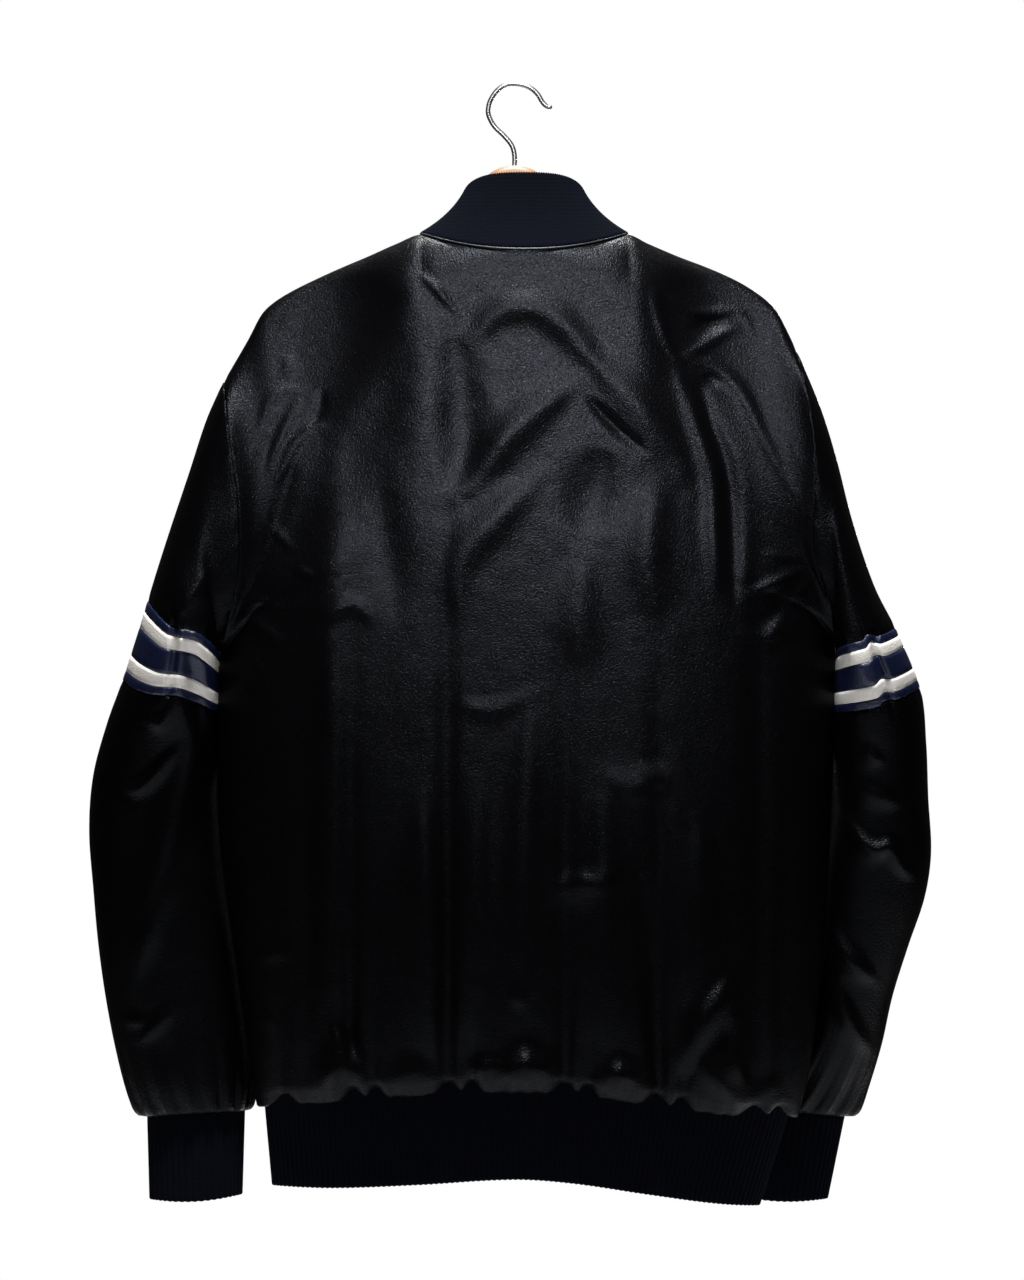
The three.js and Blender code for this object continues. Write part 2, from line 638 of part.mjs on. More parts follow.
// The wearer's left front laps over the right one, a wall's thickness further out.
const leftFrontPlaces = [overlapPlace(-1), ...leftPlaces];
const leftFrontGrid = allRows.map((i) => leftFrontPlaces.map((s) => bodyPoint(1, s, i)));
const rightFrontPlaces = [...rightPlaces.slice().reverse(), overlapPlace(1)];
const rightFrontGrid = allRows.map((i) => rightFrontPlaces.map((s) => bodyPoint(1, s, i)));
const overLap = satinWall + seamGap + 0.6;
directions(leftFrontGrid, false).forEach((row, i) => row.forEach((outward, j) => {
  const fromMiddle = leftFrontGrid[i][j].x - middleX(i < rows.length ? rows[i] : 1);
  const raised = overLap * ease((fromMiddle + 4 * frontOverlap) / (2 * frontOverlap));
  leftFrontGrid[i][j].addScaledVector(outward, raised);
}));

// Sleeves. The first section is the armhole seam, taken from the body's edge, and the following
// ones run down to the cuff.
const ringCount = armholeSteps * 2;
function sleevePoint(section, hand, j) {
  const angle = Math.PI * j / armholeSteps;
  const along = (1 - Math.cos(angle)) / 2;
  const x = mix(section.outX, section.inX, along);
  const z = mix(section.outZ, section.inZ, along);
  const side = Math.sin(angle) * hand;
  const facing = Math.sign(side);
  const round = Math.abs(Math.sin(angle)) ** 0.9;
  const fold = facing === 0 ? 0 : foldHeight(facing, x, z) * Math.sin(angle) ** 2;
  return new THREE.Vector3(x, section.y + facing * (section.half * round + fold), z);
}

function armholeRing(hand) {
  const edge = hand < 0 ? 0 : backPlaces.length - 1;
  const back = (i) => backGrid[i][edge];
  const front = (i) => (hand < 0
    ? leftFrontGrid[i][leftFrontPlaces.length - 1]
    : rightFrontGrid[i][0]);
  const first = hand < 0 ? back : front;
  const second = hand < 0 ? front : back;
  return Array.from({ length: ringCount }, (_, j) => (
    j <= armholeSteps ? first(j) : second(ringCount - j)).clone());
}

function sleeveSections(hand) {
  const table = hand < 0 ? leftSleeve : rightSleeve;
  const start = armholeRing(hand);
  const next = start.map((_, j) => sleevePoint(table[0], hand, j));
  start.forEach((p, j) => {
    if (j === 0 || j === armholeSteps) p.y = 0;
    const nearArmpit = ease(1 - Math.abs(j - armholeSteps) / 3);
    const gap = seamGap * (1 + 3.5 * nearArmpit);
    p.addScaledVector(next[j].clone().sub(p).normalize(), gap);
    p.x += hand * seamGap * 1.6 * nearArmpit;
  });
  return { table, start };
}

// Moves the facing edges of two neighbouring rings apart by the seam gap.
function parted(ring, towards) {
  return ring.map((p, j) => (
    p.clone().addScaledVector(towards[j].clone().sub(p).normalize(), seamGap / 2)));
}

function buildSleeve(hand) {
  const label = hand < 0 ? 'left' : 'right';
  const { table, start } = sleeveSections(hand);
  const ring = (section) => Array.from({ length: ringCount }, (_, j) => sleevePoint(section, hand, j));
  const topIndex = table.findIndex((row) => row.bandTop);
  const footIndex = table.findIndex((row) => row.bandFoot);
  const upper = [start, ...table.slice(0, topIndex + 1).map(ring)];
  const lower = table.slice(footIndex).map(ring);
  const total = bands.reduce((sum, band) => sum + band.width, 0);
  const topRing = upper[upper.length - 1];
  const bandEdges = [topRing];
  let run = 0;
  for (const band of bands) {
    run += band.width / total;
    const section = {};
    for (const key of ['outX', 'outZ', 'inX', 'inZ', 'y', 'half']) {
      section[key] = mix(table[topIndex][key], table[footIndex][key], run);
    }
    bandEdges.push(ring(section));
  }
  const pieces = [{ name: `sleeve_upper_${label}`, finish: 'satin', grid: upper }];
  bands.forEach((band, k) => pieces.push({
    name: `sleeve_band_${band.name}_${label}`,
    finish: band.colour,
    grid: [bandEdges[k], bandEdges[k + 1]],
  }));
  pieces.push({ name: `sleeve_lower_${label}`, finish: 'satin', grid: lower });
  const whole = [...upper, ...bandEdges.slice(1, -1), ...lower];
  const outward = directions(whole, true);
  let first = 0;
  for (const piece of pieces) {
    const count = piece.grid.length;
    piece.outward = outward.slice(first, first + count);
    first += count - 1;
  }
  pieces.forEach((piece, k) => {
    const grid = piece.grid.slice();
    const end = grid.length - 1;
    if (k > 0) grid[0] = parted(piece.grid[0], piece.grid[1]);
    if (k < pieces.length - 1) grid[end] = parted(piece.grid[end], piece.grid[end - 1]);
    piece.edged = grid;
  });
  return pieces;
}

const backOut = directions(backGrid, false);
const leftFrontOut = directions(leftFrontGrid, false);
const rightFrontOut = directions(rightFrontGrid, false);
const sleeves = { '-1': buildSleeve(-1), 1: buildSleeve(1) };

// Two walls that meet at a seam share one direction there, so that the gap between them is even.
function share(...owners) {
  const sum = new THREE.Vector3();
  for (const { list, i, j } of owners) sum.add(list[i][j]);
  if (sum.length() < 0.25) sum.set(0, 0, -1);
  sum.normalize();
  for (const { list, i, j } of owners) list[i][j] = sum.clone();
}

const lastBack = backPlaces.length - 1;
const lastLeftFront = leftFrontPlaces.length - 1;
for (const hand of [-1, 1]) {
  const backEdge = hand < 0 ? 0 : lastBack;
  const frontList = hand < 0 ? leftFrontOut : rightFrontOut;
  const frontEdge = hand < 0 ? lastLeftFront : 0;
  const sleeveOut = sleeves[hand][0].outward;
  for (let k = 1; k <= shoulderSteps; k += 1) {
    const j = hand < 0 ? k : lastBack - k;
    const fj = hand < 0 ? lastLeftFront - k : k;
    share({ list: backOut, i: 0, j }, { list: frontList, i: 0, j: fj });
  }
  for (let i = armholeSteps + 1; i < rowCount; i += 1) {
    share({ list: backOut, i, j: backEdge }, { list: frontList, i, j: frontEdge });
  }
  for (let i = 1; i < armholeSteps; i += 1) {
    const backRing = hand < 0 ? i : ringCount - i;
    const frontRing = hand < 0 ? ringCount - i : i;
    share({ list: backOut, i, j: backEdge }, { list: sleeveOut, i: 0, j: backRing });
    share({ list: frontList, i, j: frontEdge }, { list: sleeveOut, i: 0, j: frontRing });
  }
  for (const i of [0, armholeSteps]) {
    share(
      { list: backOut, i, j: backEdge },
      { list: frontList, i, j: frontEdge },
      { list: sleeveOut, i: 0, j: i },
    );
  }
}

addPiece('back', wallGeometry(backGrid, backOut, satinWall, false), 'satin');
addPiece('front_left', wallGeometry(leftFrontGrid, leftFrontOut, satinWall, false), 'satin');
addPiece('front_right', wallGeometry(rightFrontGrid, rightFrontOut, satinWall, false), 'satin');
for (const hand of [-1, 1]) {
  for (const piece of sleeves[hand]) {
    addPiece(piece.name, wallGeometry(piece.edged, piece.outward, satinWall, true), piece.finish);
  }
}

// The neckline, at an angle from the middle of the back: along the edges of the panels.
function neckRim(angle) {
  const hand = angle < 0 ? -1 : 1;
  const side = Math.abs(angle) < Math.PI / 2 ? -1 : 1;
  const fromMiddle = side < 0 ? Math.abs(angle) : Math.PI - Math.abs(angle);
  const step = fromMiddle / (Math.PI / 2) * neckSteps;
  const k = Math.min(Math.floor(step), neckSteps - 1);
  const column = (m) => {
    if (side < 0) return { grid: backGrid, list: backOut, j: leftPlaces.length - 1 + hand * m };
    return hand < 0
      ? { grid: leftFrontGrid, list: leftFrontOut, j: 1 + m }
      : { grid: rightFrontGrid, list: rightFrontOut, j: rightPlaces.length - 1 - m };
  };
  const near = column(k);
  const far = column(k + 1);
  const point = near.grid[0][near.j].clone().lerp(far.grid[0][far.j], step - k);
  const outward = near.list[0][near.j].clone().lerp(far.list[0][far.j], step - k).normalize();
  return { point, outward };
}
const collarAngle = (u) => Math.PI * (2 * u - 1) * collarReach;

// Collar: from its top edge (v = 0) down to the neckline (v = 1), open at the front.
function collarPoint(u, v) {
  const angle = collarAngle(u);
  const sin = Math.sin(angle);
  const cos = Math.cos(angle);
  const forward = ((1 - cos) / 2) ** 1.5;
  const foot = neckRim(angle).point;
  foot.z += seamGap + collarLift;
  const top = new THREE.Vector3(
    neckCentreX + collarTopHalfWidth * sin,
    mix(collarTopFront, -collarTopBack, (1 + cos) / 2),
    mix(collarTopZ.back, collarTopZ.front, forward),
  );
  const point = top.clone().lerp(foot, v);
  const drawn = collarWaist * 4 * v * (1 - v);
  point.x -= drawn * sin;
  point.y += drawn * 0.6 * cos;
  return point;
}
const collarLength = 2 * Math.PI * Math.hypot(neckHalfWidth, neckReach * 1.5) / Math.SQRT2;
addPiece('collar', ribGeometry({
  at: collarPoint,
  ribs: Math.round(collarLength / collarRibPitch),
  rowCount: collarRows,
  closed: false,
  footOutward: (u) => neckRim(collarAngle(u)).outward,
}), 'rib');

// Hem: from the seam down to its foot, open at the middle of the front. u starts there and runs
// by the wearer's left side to the back.
function hemPoint(u, v) {
  const angle = Math.PI * (2 * u - 1) * hemReach;
  const sin = Math.sin(angle);
  const cos = Math.cos(angle);
  const section = hemSection(v);
  const s = Math.sign(sin) * Math.abs(sin) ** 0.92;
  const x = mix(hemCentreX, s < 0 ? section.left : section.right, Math.abs(s));
  const depth = (cos > 0 ? section.back : section.front) * squareArc(s);
  const z = mix(read(hemLine, 'x', 'seam', x), read(hemLine, 'x', 'foot', x), v);
  return new THREE.Vector3(x, cos > 0 ? -depth : depth, z);
}
const hemLength = 2 * (hemEnds.topRight - hemEnds.topLeft) + hemDepth.topBack + hemDepth.topFront;
addPiece('hem_rib', ribGeometry({
  at: hemPoint,
  ribs: Math.round(hemLength / hemRibPitch),
  rowCount: 1,
  closed: false,
}), 'rib');

// Cuffs, closed rings from the sleeve's gathered end down to the foot.
function cuffPoint(cuff, hand, u, v) {
  const angle = 2 * Math.PI * u;
  const along = (1 - Math.cos(angle)) / 2;
  const at = (key) => mix(cuff.top[key], cuff.foot[key], v);
  const x = mix(at('outX'), at('inX'), along);
  const z = mix(at('outZ'), at('inZ'), along) - cuffSag * v * Math.sin(Math.PI * along);
  return new THREE.Vector3(x, at('y') + hand * cuffHalfDepth * Math.sin(angle), z);
}
for (const [label, cuff, hand] of [['left', leftCuff, -1], ['right', rightCuff, 1]]) {
  const halfWidth = Math.abs(cuff.top.outX - cuff.top.inX) / 2;
  const girth = 2 * Math.PI * Math.hypot(halfWidth, cuffHalfDepth) / Math.SQRT2;
  addPiece(`cuff_${label}`, ribGeometry({
    at: (u, v) => cuffPoint(cuff, hand, u, v),
    ribs: Math.round(girth / cuffRibPitch),
    rowCount: 1,
    closed: true,
  }), 'rib');
}

// Snap fasteners down the left front, each seated on the satin.
const snapHeight = 3;
const snapProfile = [
  [0, 0], [snapRadius, 0], [snapRadius, snapHeight * 0.4],
  [snapRadius * 0.72, snapHeight * 0.87], [0, snapHeight],
];
function frontAt(z) {
  const column = leftFrontPlaces.indexOf(leftPlaces[0]);
  let i = 0;
  while (i < rows.length - 1 && leftFrontGrid[i + 1][column].z > z) i += 1;
  const a = leftFrontGrid[i][column];
  const b = leftFrontGrid[i + 1][column];
  const w = (z - a.z) / (b.z - a.z);
  const down = b.clone().sub(a);
  return { point: a.clone().lerp(b, w), outward: down.cross(new THREE.Vector3(-1, 0, 0)).normalize() };
}
for (let k = 0; k < snapCount; k += 1) {
  const z = mix(firstSnapZ, lastSnapZ, k / (snapCount - 1));
  const { point, outward } = frontAt(z);
  const outline = snapProfile.map(([x, y]) => new THREE.Vector2(x, y));
  const snap = addPiece(`snap_${k + 1}`, new THREE.LatheGeometry(outline, snapSides), 'snap');
  snap.quaternion.setFromUnitVectors(new THREE.Vector3(0, 1, 0), outward);
  snap.position.copy(point).addScaledVector(outward, seatGap);
}

// Hanger: its top follows the inside of the shoulders and rises in the middle through the collar.
function hangerTop(x) {
  const reach = Math.abs(x);
  const hump = hangerHump[hangerHump.length - 1];
  if (reach <= hump.x) return read(hangerHump, 'x', 'z', reach);
  const cloth = (at) => read(ridge, 'x', 'z', at) - satinWall - hangerClearance;
  if (reach >= hangerArmStart) return cloth(x);
  const start = cloth(Math.sign(x) * hangerArmStart);
  return mix(hump.z, start, (reach - hump.x) / (hangerArmStart - hump.x));
}
function hangerGeometry() {
  const stations = [
    -hangerReach, -196, -188, -170, -145, -120, -98, -77, -60, -48, -38, -31, -23, -12, 0,
    12, 23, 31, 38, 48, 60, 77, 98, 120, 145, 170, 188, 196, hangerReach,
  ];
  const half = hangerThickness / 2;
  const sides = hangerSides;
  const points = [];
  for (const x of stations) {
    const top = hangerTop(x);
    const reach = Math.abs(x) / hangerReach;
    const pastTip = clamp01((Math.abs(x) - hangerTipStart) / (hangerReach + 1 - hangerTipStart));
    const tip = Math.sqrt(Math.max(1 - pastTip ** 2, 0.08));
    const armFoot = hangerFootZ - hangerFootFall * reach ** 1.3;
    const foot = Math.min(armFoot, top - hangerArmHeight);
    const middle = (top + foot) / 2;
    const halfHeight = (top - foot) / 2;
    for (let k = 0; k < sides; k += 1) {
      const angle = 2 * Math.PI * k / sides;
      const y = half * tip * Math.sign(Math.sin(angle)) * Math.abs(Math.sin(angle)) ** 0.8;
      const rise = Math.sign(Math.cos(angle)) * Math.abs(Math.cos(angle)) ** 0.7;
      points.push(new THREE.Vector3(x, y, middle + halfHeight * rise * tip));
    }
  }
  const triangles = [];
  const last = stations.length - 1;
  for (let i = 0; i < last; i += 1) {
    for (let k = 0; k < sides; k += 1) {
      const a = i * sides + k;
      const b = i * sides + (k + 1) % sides;
      triangles.push(a, b + sides, b, a, a + sides, b + sides);
    }
  }
  for (const i of [0, last]) {
    const centre = points.length;
    const ring = points.slice(i * sides, (i + 1) * sides);
    points.push(ring.reduce((sum, p) => sum.add(p), new THREE.Vector3()).divideScalar(sides));
    for (let k = 0; k < sides; k += 1) {
      const a = i * sides + k;
      const b = i * sides + (k + 1) % sides;
      triangles.push(...(i === 0 ? [centre, a, b] : [centre, b, a]));
    }
  }
  return geometryFrom(points, triangles);
}

const wasm = await Module();
wasm.setup();
function toManifold(geometry) {
  const bare = geometry.clone();
  bare.deleteAttribute('normal');
  bare.deleteAttribute('uv');
  const merged = mergeVertices(bare, 1e-4);
  return new wasm.Manifold(new wasm.Mesh({
    numProp: 3,
    vertProperties: new Float32Array(merged.attributes.position.array),
    triVerts: new Uint32Array(merged.index.array),
  }));
}
function fromManifold(solid) {
  const mesh = solid.getMesh();
  const geometry = new THREE.BufferGeometry();
  geometry.setAttribute('position', new THREE.Float32BufferAttribute(mesh.vertProperties, 3));
  geometry.setIndex(Array.from(mesh.triVerts));
  geometry.computeVertexNormals();
  return geometry;
}

const stemTop = hookPoints[0][1];
const boreRadius = hookWire / 2 + seamGap;
const bore = new THREE.CylinderGeometry(boreRadius, boreRadius, boreLength, hangerSides);
bore.rotateX(Math.PI / 2);
bore.translate(0, 0, stemTop - seamGap + boreLength / 2);
const wood = toManifold(hangerGeometry()).subtract(toManifold(bore));
addPiece('hanger_wood', fromManifold(wood), 'maple');

const hookCurve = new THREE.CatmullRomCurve3(hookPoints.map(([x, z]) => new THREE.Vector3(x, 0, z)));
const wireSection = new THREE.Shape();
for (let k = 0; k < wireSides; k += 1) {
  const angle = 2 * Math.PI * k / wireSides;
  const x = hookWire / 2 * Math.cos(angle);
  const y = hookWire / 2 * Math.sin(angle);
  if (k === 0) wireSection.moveTo(x, y);
  else wireSection.lineTo(x, y);
}
wireSection.closePath();
addPiece('hanger_hook', new THREE.ExtrudeGeometry(wireSection, {
  steps: wireSteps,
  bevelEnabled: false,
  extrudePath: hookCurve,
}), 'steel');

export default jacket;
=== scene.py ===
import math
from collections import namedtuple

import bpy
import numpy as np
from bpy.props import FloatProperty, FloatVectorProperty, IntProperty, PointerProperty
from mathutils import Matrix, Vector, noise


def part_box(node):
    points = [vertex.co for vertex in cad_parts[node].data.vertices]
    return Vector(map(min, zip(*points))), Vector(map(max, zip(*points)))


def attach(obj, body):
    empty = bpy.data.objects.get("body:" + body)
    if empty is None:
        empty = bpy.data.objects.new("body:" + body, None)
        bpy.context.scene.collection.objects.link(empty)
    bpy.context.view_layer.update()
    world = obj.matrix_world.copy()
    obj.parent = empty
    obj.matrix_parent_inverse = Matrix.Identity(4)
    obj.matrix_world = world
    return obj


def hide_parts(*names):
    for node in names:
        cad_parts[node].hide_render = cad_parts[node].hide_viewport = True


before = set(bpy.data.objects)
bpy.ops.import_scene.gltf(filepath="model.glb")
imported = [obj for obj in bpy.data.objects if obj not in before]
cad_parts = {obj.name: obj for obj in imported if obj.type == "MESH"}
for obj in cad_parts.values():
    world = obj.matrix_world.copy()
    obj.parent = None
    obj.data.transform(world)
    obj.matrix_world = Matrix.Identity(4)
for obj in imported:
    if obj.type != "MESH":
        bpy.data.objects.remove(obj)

bl_info = {
    "name": "Satin bomber jacket",
    "version": (1, 0, 0),
    "blender": (4, 5, 0),
    "location": "3D Viewport > Sidebar > Jacket",
    "description": "Makes a satin bomber jacket that hangs on a wooden hanger, around its frame of solids",
    "category": "Object",
}

# Sizes are in millimetres until a mesh is made. +Z is up and the origin is the inner top of the hook.
# The garment's back faces -Y and the wearer's left is -X.
MM = 0.001
BACK, FRONT = -1, 1
LEFT, RIGHT = -1, 1
HAND_NAMES = {LEFT: "left", RIGHT: "right"}
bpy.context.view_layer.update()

# Neck opening, as the frame has it.
SEAM_GAP = 0.3
NECK_HALF_WIDTH = 85
NECK_REACH = 50
NECK_CENTRE_X = 8
NECK_CORNER_Z = -122
NECK_DROP = {BACK: 14, FRONT: 68}
NECK_ROUNDNESS = 2.2
NECK_SETTLE = 40

# Top line of the body, evened out over the neck's corners: reach on each side, spacing of the places
# that are averaged, how fast the neck's dip fades, where across the panel the true line returns, and
# the share of the body's height over which its depth goes over to the even line.
CALM_REACH = 48
CALM_SPACING = 12
CALM_DIP_FADE = 1.6
CALM_END = 0.62
CALM_END_WIDTH = 0.25
CALM_T = 0.1

# Collar.
COLLAR_TOP_HALF_WIDTH = 50
COLLAR_TOP = {BACK: 34, FRONT: 50}
COLLAR_TOP_Z = {BACK: -74, FRONT: -128}
COLLAR_WAIST = 4
COLLAR_REACH = 0.996
PIPING_RADIUS = 0.8
PIPING_OUT = 0.9
PIPING_DROP = 1.0

# Front closure.
FRONT_OVERLAP = 14
CLOSURE_HALF_WIDTH = 18
CLOSURE_FADE = 30
LAP_RISE = 2.5

# Shoulders, armholes and hem.
RIDGE_RADIUS = 9.5
NECK_RIDGE_REACH = 0.45
CREASE_FADE = 40
SHOULDER_FALL = 300
ARMHOLE_DEPTH = {BACK: 55, FRONT: 50}
HEM_TOP = {"left": -206, "right": 229, BACK: 47, FRONT: 43}
HEM_FOOT = {"left": -199, "right": 202, BACK: 41, FRONT: 38}
HEM_CENTRE_X = 6
HEM_REACH = 0.998
HEM_SEAM_PLACE = 0.05
HEM_CLEARANCE = 1.5
BELLY_DROP = 13
PINCH_LIFT = 0.75
CUFF_HALF_DEPTH = 22
CUFF_SAG = 3

# The rows of a body panel are counted from 0 at the ridge to ARMPIT_STEP, HEM_STEP and ROLL_STEP.
ARMPIT_STEP = 10
HEM_STEP = 20
ROLL_STEP = 21
RIDGE_T = 0.01
ARMPIT_T = 0.38

# Hanger and its hook.
HANGER_THICKNESS = 14
HANGER_REACH = 200
HANGER_ARM_HEIGHT = 24
HANGER_ARM_START = 100
HANGER_TIP_START = 186
HANGER_FOOT_Z = -128
HANGER_FOOT_FALL = 62
HANGER_CLEARANCE = 3.2
HOOK_WIRE = 4


def table(columns, *rows):
    """A short table: its columns by name, as arrays."""
    return {name: np.array(values, float) for name, values in zip(columns.split(), zip(*rows))}


# Outer edge of the body: the armhole seam and, below the armpit, the side seam.
EDGE = {
    LEFT: table(
        "z x",
        (-244, -240), (-301, -232), (-342, -226), (-391, -225), (-418, -228.5), (-441, -234),
        (-469, -244), (-523, -246), (-588, -246), (-646, -241.5), (-703, -234), (-760, -226),
        (-812, -219), (-850, -212),
    ),
    RIGHT: table(
        "z x",
        (-219, 233), (-260, 241), (-301, 246), (-342, 246), (-382, 245), (-412, 252), (-434, 261),
        (-459, 266), (-523, 265), (-588, 263), (-646, 260), (-703, 257), (-760, 251),
        (-818, 243), (-860, 232),
    ),
}
SHOULDER_Z = {LEFT: -244, RIGHT: -219}
ARMPIT_Z = {LEFT: -469, RIGHT: -459}

# Ridge of the shoulders, which lies over the hanger.
RIDGE = table(
    "x z",
    (-240, -244), (-220, -209), (-209, -188), (-199, -178), (-184, -168.5), (-165, -159),
    (-143, -149), (-120, -139.5), (-97, -129.5), (-77, -122), (93, -122), (110, -129.5),
    (134, -139.5), (159.5, -149), (182, -159), (198, -168.5), (210, -178), (218, -188),
    (233, -219),
)

# Depth of the body down its length, t from 0 at the shoulders to 1 at the hem seam.
BODY_DEPTH = table(
    "t back front",
    (0.00, 70, 58), (0.16, 75, 61), (0.38, 80, 64), (0.60, 82, 67), (0.80, 81, 67),
    (0.92, 79, 66), (1.00, 74, 62),
)

# The satin's roll over the hem: how far it is tucked in to the hem's face, and its drop.
ROLL = table("place tuck drop", (0, 0, 0), (0.33, 0.12, 0.35), (0.66, 0.45, 1.0), (1, 0.97, 0.45))

# Line of the hem seam and of the hem's lower edge, across the garment.
HEM_LINE = table(
    "x seam foot",
    (-206, -829, -905), (-150, -824, -906), (-80, -818, -903), (0, -815, -898.5),
    (50, -818, -902), (110, -826, -911), (175, -835, -920), (232, -838, -923),
)

# Sections of the sleeves: outer and inner end, middle in depth and half depth.
SLEEVE = {
    LEFT: table(
        "out_x out_z in_x in_z y half",
        (-254, -275, -243, -474, 2, 59), (-268.5, -319, -243.5, -479, 4, 63),
        (-284, -365, -243.5, -484, 7, 67), (-296, -402, -243, -488, 10, 70),
        (-303, -425, -242.5, -492, 12, 71), (-323, -487, -241.5, -526, 20, 66),
        (-337, -525, -241.5, -550, 27, 60), (-349, -569, -243, -584, 32, 54),
        (-352.5, -615, -240, -625, 35, 51), (-349, -664, -235, -668, 35, 50),
        (-345, -708, -228, -709, 34, 49), (-339, -752, -222, -750, 35, 48),
        (-331, -793, -216, -789, 35, 46), (-321, -828, -214, -824, 32, 42),
        (-311, -849, -217, -844, 28, 33), (-304.6, -852, -221.8, -847, 25, 24.8),
    ),
    RIGHT: table(
        "out_x out_z in_x in_z y half",
        (252, -264, 265, -464, 2, 59), (265, -305, 265, -469, 4, 63),
        (279, -359, 264.5, -474, 7, 67), (297, -412, 263.5, -479, 10, 70),
        (314.5, -447, 263, -484, 12, 71), (336, -499, 261.5, -522, 20, 68),
        (341, -543, 261.5, -557, 28, 64), (343, -588, 261, -596, 34, 60),
        (345.5, -633, 256, -638, 38, 57), (340.5, -670, 252, -673, 43, 54),
        (327, -711, 247, -709, 48, 52), (314.5, -752, 239, -747, 55, 50),
        (305.5, -793, 226, -787, 62, 47), (294, -829, 204, -824, 69, 42),
        (284, -851, 185, -845, 68, 33), (276, -854, 188.8, -848, 66, 24.6),
    ),
}
# Rows of that table near which the ribbons begin and end.
BAND_TOP_ROW = 4
BAND_FOOT_ROW = 5
# How far the ribbons' upper and lower edges lie above those rows, from the sleeve's outer side (0)
# to its inner side (1). They step where the sleeve folds.
BAND_RISE = {
    LEFT: table(
        "along top foot",
        (0, 0, -3), (0.12, 0, -5), (0.3, 1, -3), (0.42, 6, 1), (0.55, 13, 6), (0.7, 20, 8), (1, 25, 9),
    ),
    RIGHT: table(
        "along top foot",
        (0, 0, 3), (0.15, 2, 1), (0.3, 5, 0), (0.42, 11, 2), (0.5, 9.5, -1), (0.67, 13, 0),
        (0.82, 16, 2), (1, 18, 5),
    ),
}

# The five ribbon bands on each sleeve, from the shoulder down.
Band = namedtuple("Band", "name width slot")
BANDS = (
    Band("navy_upper", 8, "navy_satin"),
    Band("white_upper", 12.5, "white_satin"),
    Band("navy_middle", 23, "navy_satin"),
    Band("white_lower", 12.5, "white_satin"),
    Band("navy_lower", 8, "navy_satin"),
)

# Cuffs: ends of their upper and lower edges.
CUFF = {
    LEFT: table(
        "v out_x out_z in_x in_z y",
        (0, -303, -849, -224, -844, 25), (1, -301, -918, -226, -914, 22),
    ),
    RIGHT: table(
        "v out_x out_z in_x in_z y",
        (0, 274.3, -851, 191, -845, 66), (1, 260, -920, 183, -917, 62),
    ),
}

# Middle line of the hook's wire, and the upper edge of the hanger's middle.
HOOK = table(
    "x z",
    (0, -80), (0, -68), (0, -57), (-2.2, -49), (-8.4, -41.2), (-16.5, -33.2), (-21, -25),
    (-21.7, -19.5), (-19.9, -12), (-14.8, -4.2), (-8.2, 0.6), (0, 2), (7.2, 0.9), (14, -2),
    (19.4, -7), (23, -13), (26.4, -16.4), (31.2, -17.9),
)
HANGER_HUMP = table(
    "x z",
    (0, -64.7), (12, -67.4), (23, -74), (31, -83.5), (38, -94), (48, -107), (60, -118.5), (77, -128),
)

# Outline of a snap's cap from its middle out and under, with its height above the seat.
SNAP_CAP = table(
    "radius height",
    (0.01, 3.0), (2.4, 2.95), (4.6, 2.72), (5.6, 2.4), (6.1, 2.1), (6.5, 2.2), (7.0, 1.9),
    (7.5, 1.2), (7.5, 0.4), (7.2, 0.0), (0.01, 0.0),
)
SNAP_HALF_HEIGHT = 1.5
SNAP_SIDES = 36

# Gathers of the satin at the hem: place, half width, depth and reach up the body.
Gather = namedtuple("Gather", "side x width depth reach")
GATHERS = (
    Gather(BACK, -192, 9, 5, 90), Gather(BACK, -134, 8, 10, 200), Gather(BACK, -116, 7, 5, 80),
    Gather(BACK, -55, 9, 10, 260), Gather(BACK, -36, 7, 7, 100), Gather(BACK, 42, 9, 9, 200),
    Gather(BACK, 60, 7, 5, 80), Gather(BACK, 118, 9, 10, 190), Gather(BACK, 139, 7, 6, 90),
    Gather(BACK, 200, 10, 9, 330), Gather(BACK, 220, 7, 4, 90),
    Gather(FRONT, -176, 10, 7, 160), Gather(FRONT, -132, 10, 8, 240), Gather(FRONT, -92, 10, 5, 110),
    Gather(FRONT, -54, 9, 7, 200), Gather(FRONT, 60, 10, 8, 220), Gather(FRONT, 104, 10, 6, 130),
    Gather(FRONT, 146, 10, 8, 260), Gather(FRONT, 192, 10, 7, 170),
)
# Small tucks between the gathers, sewn into the hem seam. Their places wander by two waves, each
# with its size and length.
TUCK_PITCH = 22
TUCK_REACH = 30
TUCK_DEPTH = 1.7
TUCK_PINCH = 0.12
TUCK_WANDER = ((9, 23), (5, 9.7))
TUCK_SWELL_LENGTH = 17

# Unevenness of hanging satin: height and size of its broad and its fine waves.
BROAD_WAVE = (0.8, 34)
FINE_WAVE = (0.35, 15)
SLEEVE_WAVE = (0.8, 30)

# Pleats of the sleeve into the cuff, and puckers along the sleeve's seams.
CUFF_PLEATS = 17
FINE_PLEATS = 41
PLEAT_HEIGHT = 2.6
PLEAT_REACH = 34
PLEAT_START = 14
PUCKERS = 31
PUCKER_REACH = 9
ARMHOLE_PUCKER = 0.7
BAND_PUCKER = 0.35

# Depth and width of the groove that sewing leaves along an edge.
BODY_GROOVE = (0.9, 5.0)
SATIN_GROOVE = (0.8, 4.0)
RIBBON_GROOVE = (0.3, 1.6)

